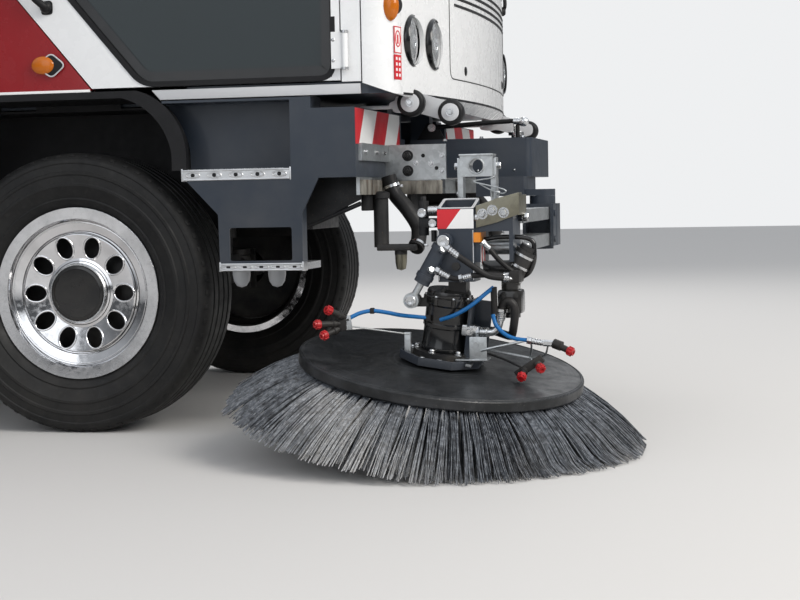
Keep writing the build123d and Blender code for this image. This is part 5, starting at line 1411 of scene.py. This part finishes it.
bezel = Piece("rear_lamp_bezels", "black", angle=40)
reverse = Piece("rear_lamp_reflectors", "steel", angle=40)
holder = Piece("number_plate_holder", "black")
holder.box((-4118, -4112), (-268, 268), (766, 892), 3)
for side in SIDES:
    for y in (700, 860, 1020):
        bezel.lathe((-4130, y, 842), BACK, ((74, 0), (74, 10), (68, 14), (62.5, 14), (62.5, 0)), 40)
        reverse.lathe((-4149, y, 842), BACK, ((26, 0), (24, 1), (0, 1)), 28)
    holder.box((-4112, -4090), (160, 200), (756, 800))
    holder.rod((-4100, 250, 668), (-4100, 250, 600), 3, 6)
blank = Piece("number_plate_bare", "stripe_white")
blank.box((-4122, -4118), (-260, 260), (775, 885), 3)

# Tanks: straps, welds, caps and level tubes


def strap(piece, outline, x, width, thick):
    """A flat band round a section in the plane across the truck."""
    rings = []
    for (y0, z0), (y1, z1) in zip(outline, grown(outline, thick)):
        spots = ((x, y0, z0), (x + width, y0, z0), (x + width, y1, z1), (x, y1, z1))
        rings.append([piece.mesh.verts.new(at(*spot)) for spot in spots])
    piece.bridge_all(rings, True)


tank = oblong((760, 1120), (470, 1120), 45)
bands = Piece("tank_straps", "steel")
welds = Piece("tank_welds", "slate")
caps = Piece("tank_caps", "black_gloss")
tubes = Piece("tank_level_tubes", "light_grey", angle=50)
level_tube = [(-2120, y, z) for y, z in ((1121, 1060), (1131, 1056), (1132, 800), (1131, 534), (1121, 530))]
for side in SIDES:
    for x in (-1945, -985):
        strap(bands, tank, x, 50, 3)
        bands.box((x + 12, x + 38), (1122, 1134), (830, 900), 3)
    for x in (-1700, -1440, -1180):
        strap(welds, tank, x, 9, 2)
    cap = ((0, 0), (62, 0), (62, 14), (54, 16), (54, 40), (50, 46), (0, 48))
    caps.lathe((-860, 1035, 1119), UP, cap, 36)
    for step, (c, s) in enumerate(circle(16)):
        turn = Matrix.Rotation(side * 2 * pi * step / 16, 4, "Z")
        caps.slab((-860 + 54 * c, 1035 + 54 * s, 1147), (6, 6, 22), turn, 1)
    tubes.tube(level_tube, 5.5, 10)
    for z in (1045, 545):
        tubes.box((-2130, -2110), (1119, 1136), (z - 8, z + 8), 3)

# Rear mudguards, mud flaps and the rubber skirt round the roller hood

guards = Piece("rear_mudguards", "black", angle=35)
stays = Piece("mudguard_stays", "iron")
flap_bolts = Piece("flap_bolts", "steel")
skirt = Piece("hood_skirt", "hose")
# radius, distance across
guard_section = ((560, 800), (566, 800), (566, 1118), (552, 1128), (546, 1128), (560, 1110))
for side in SIDES:
    rings = []
    for step in range(25):
        c, s = (turn(radians(14 + 152 * step / 24)) for turn in (cos, sin))
        spots = [(-WHEELBASE + radius * c, y, TYRE_RADIUS + radius * s) for radius, y in guard_section]
        rings.append([guards.mesh.verts.new(at(*spot)) for spot in spots])
    guards.bridge_all(rings)
    guards.mesh.faces.new(rings[0])
    guards.mesh.faces.new(rings[-1][::-1])
    guards.box((-3556, -3548), (815, 1110), (190, 775), 1)
    for x in (-3180, -2520):
        stays.rod((x, 430, 930), (x, 1090, 944), 14, 14)
    stays.rod((-3560, 430, 870), (-3560, 700, 782), 15, 14)
    stays.box((-3566, -3546), (690, 1112), (764, 794), 3)
    for y in (850, 962, 1075):
        flap_bolts.bolt((-3546, y, 779), AHEAD, 12)
        flap_bolts.bolt((-3566, y, 779), BACK, 12)
    for x in range(-1920, -830, 120):
        flap_bolts.bolt((x, 749, 262), OUT, 10)
    for x in range(-1956, -947, 144):
        skirt.box((x, x + 141), (745, 749), (64, 286), 1)
for y in range(-600, 601, 120):
    flap_bolts.bolt((-1964, y, 262), BACK, 10)
    flap_bolts.bolt((-796, y, 262), AHEAD, 10)
for y in range(-640, 481, 160):
    for x in (-1964, -800):
        skirt.box((x, x + 4), (y, y + 157), (64, 286), 1)

# Centre roller: tufts in rows that wind round its tube

ROLLER_X, ROLLER_Z, ROLLER_HALF = -1450, 372, 639
ROLLER_ROWS, TUFTS = 26, 46
hairs = Piece("roller_bristles", "bristle", "sweep_roller", 60, ("sweep_roller",))
for row in range(ROLLER_ROWS):
    for place in range(TUFTS):
        y = -634 + 1268 * place / (TUFTS - 1)
        angle = 2 * pi * (row + 2.4 * place / TUFTS) / ROLLER_ROWS
        for _ in range(4):
            turn, shift = dice.uniform(-0.05, 0.05), dice.uniform(-11, 11)
            tip = dice.uniform(334, 348)
            spots = []
            root = (130, angle + turn * 0.3, y + shift * 0.3)
            for radius, a, across in (root, (tip, angle + turn, y + shift)):
                across = max(-ROLLER_HALF, min(ROLLER_HALF, across))
                spots.append((ROLLER_X + radius * cos(a), across, ROLLER_Z + radius * sin(a)))
            hairs.sweep(spots, 4.2, 3)
core = Piece("roller_tube", "iron", "sweep_roller")
profile = ((36, 0), (132, 0), (132, 2 * ROLLER_HALF), (36, 2 * ROLLER_HALF), (36, 0))
core.lathe((ROLLER_X, -ROLLER_HALF, ROLLER_Z), OUT, profile, 48)
arm = Piece("roller_arm_details", "steel", "roller_arms")
for side in SIDES:
    arm.lathe((ROLLER_X, 682, ROLLER_Z), OUT, ((30, 0), (30, 5), (22, 9), (0, 9)), 28)
    arm.pin_head((-760, 683, 700), OUT, 26, 12)
    for t in (0.3, 0.55, 0.8):
        arm.bolt((-760 - 690 * t, 682, 700 - 328 * t), OUT, 14)

# Tipping rams, hinge pins and lines along the rails

foot, tip = Vector((-3450, 550, 600)), Vector((-3350, 550, 1140))
way, span = (tip - foot).normalized(), (tip - foot).length
collars = Piece("lift_ram_collars", "black_gloss", "lift_ram_barrels")
ports = Piece("lift_ram_ports", "steel", "lift_ram_barrels")
pins = Piece("hinge_pin_heads", "steel")
line = Piece("rail_lines", "hose", angle=50)
clips = Piece("rail_clips", "light_grey")
for side in SIDES:
    for start, end, radius in ((34, 54, 49), (span - 100, span - 71, 50), (span - 71, span - 64, 38)):
        collars.rod(foot + way * start, foot + way * end, radius, 36)
    for along in (70, span - 118):
        x, y, z = foot + way * along
        ports.rod((x + 38, y, z), (x + 62, y, z + 4), 13, 6)
        ports.rod((x + 60, y, z + 4), (x + 74, y, z + 16), 9, 12)
    pins.pin_head((-3950, 522, 1120), OUT, 34, 10)
    for z in (856, 872):
        line.rod((-3880, 442, z), (-2960, 442, z), 5.5, 10)
        line.rod((-2740, 442, z), (-480, 442, z), 5.5, 10)
    for x in (*range(-3820, -2960, 300), *range(-2700, -480, 300)):
        clips.box((x - 9, x + 9), (434, 450), (847, 881), 3)

for piece in Piece.made:
    piece.done()


# Floor, light and backdrop


def stage():
    """A plain floor, a studio world and three soft lamps."""
    data = bpy.data.meshes.new("floor")
    reach = 30
    corners = [(reach * a, reach * b, 0) for a, b in ((-1, -1), (1, -1), (1, 1), (-1, 1))]
    data.from_pydata(corners, [], [(0, 1, 2, 3)])
    floor = bpy.data.objects.new("floor", data)
    scene.collection.objects.link(floor)
    material = bpy.data.materials.new("floor")
    material.use_nodes = True
    shader = material.node_tree.nodes["Principled BSDF"]
    shader.inputs["Base Color"].default_value = (0.62, 0.61, 0.60, 1)
    shader.inputs["Roughness"].default_value = 0.9
    data.materials.append(material)

    world = bpy.data.worlds.new("studio")
    scene.world = world
    world.use_nodes = True
    tree = world.node_tree
    tree.nodes.clear()

    def node(kind):
        return tree.nodes.new("ShaderNode" + kind)

    def light(colour, strength):
        made = node("Background")
        made.inputs[0].default_value, made.inputs[1].default_value = (*colour, 1), strength
        return made

    def mixed(factor, first, second):
        made = node("MixShader")
        for socket, source in zip(made.inputs, (factor, first, second)):
            tree.links.new(source, socket)
        return made.outputs[0]

    lit, seen = light((0.93, 0.96, 1.0), 0.62), light((0.86, 0.87, 0.88), 1.0)
    # Shiny things see a studio that is dark low down and bright above
    shine = light((0.90, 0.94, 1.0), 1.0)
    way, parts, rise = node("TexCoord"), node("SeparateXYZ"), node("MapRange")
    for socket, value in (("From Min", 0.04), ("From Max", 0.62), ("To Min", 0.10), ("To Max", 1.0)):
        rise.inputs[socket].default_value = value
    tree.links.new(way.outputs["Generated"], parts.inputs[0])
    tree.links.new(parts.outputs["Z"], rise.inputs["Value"])
    tree.links.new(rise.outputs["Result"], shine.inputs[1])
    path, clear = node("LightPath"), node("Math")
    clear.operation = "MAXIMUM"
    tree.links.new(path.outputs["Is Camera Ray"], clear.inputs[0])
    tree.links.new(path.outputs["Is Transmission Ray"], clear.inputs[1])
    unseen = mixed(path.outputs["Is Glossy Ray"], lit.outputs[0], shine.outputs[0])
    backdrop = mixed(clear.outputs[0], unseen, seen.outputs[0])
    tree.links.new(backdrop, node("OutputWorld").inputs[0])

    target = Vector((1.2, -0.4, 0.8))
    for name, place, power, colour in (
        ("key", (9.4, -4.4, 6.2), 780, (1.0, 0.96, 0.90)),
        ("fill", (0.5, -8.0, 3.4), 95, (0.93, 0.96, 1.0)),
        ("back", (0.0, 6.5, 6.5), 260, (1.0, 0.98, 0.95)),
    ):
        data = bpy.data.lights.new(name, "AREA")
        data.size, data.energy, data.color = 5, power, colour
        lamp = bpy.data.objects.new(name, data)
        lamp.location = place
        lamp.rotation_euler = (Vector(place) - target).to_track_quat("Z", "Y").to_euler()
        scene.collection.objects.link(lamp)
    scene.view_settings.view_transform = "Standard"


stage()
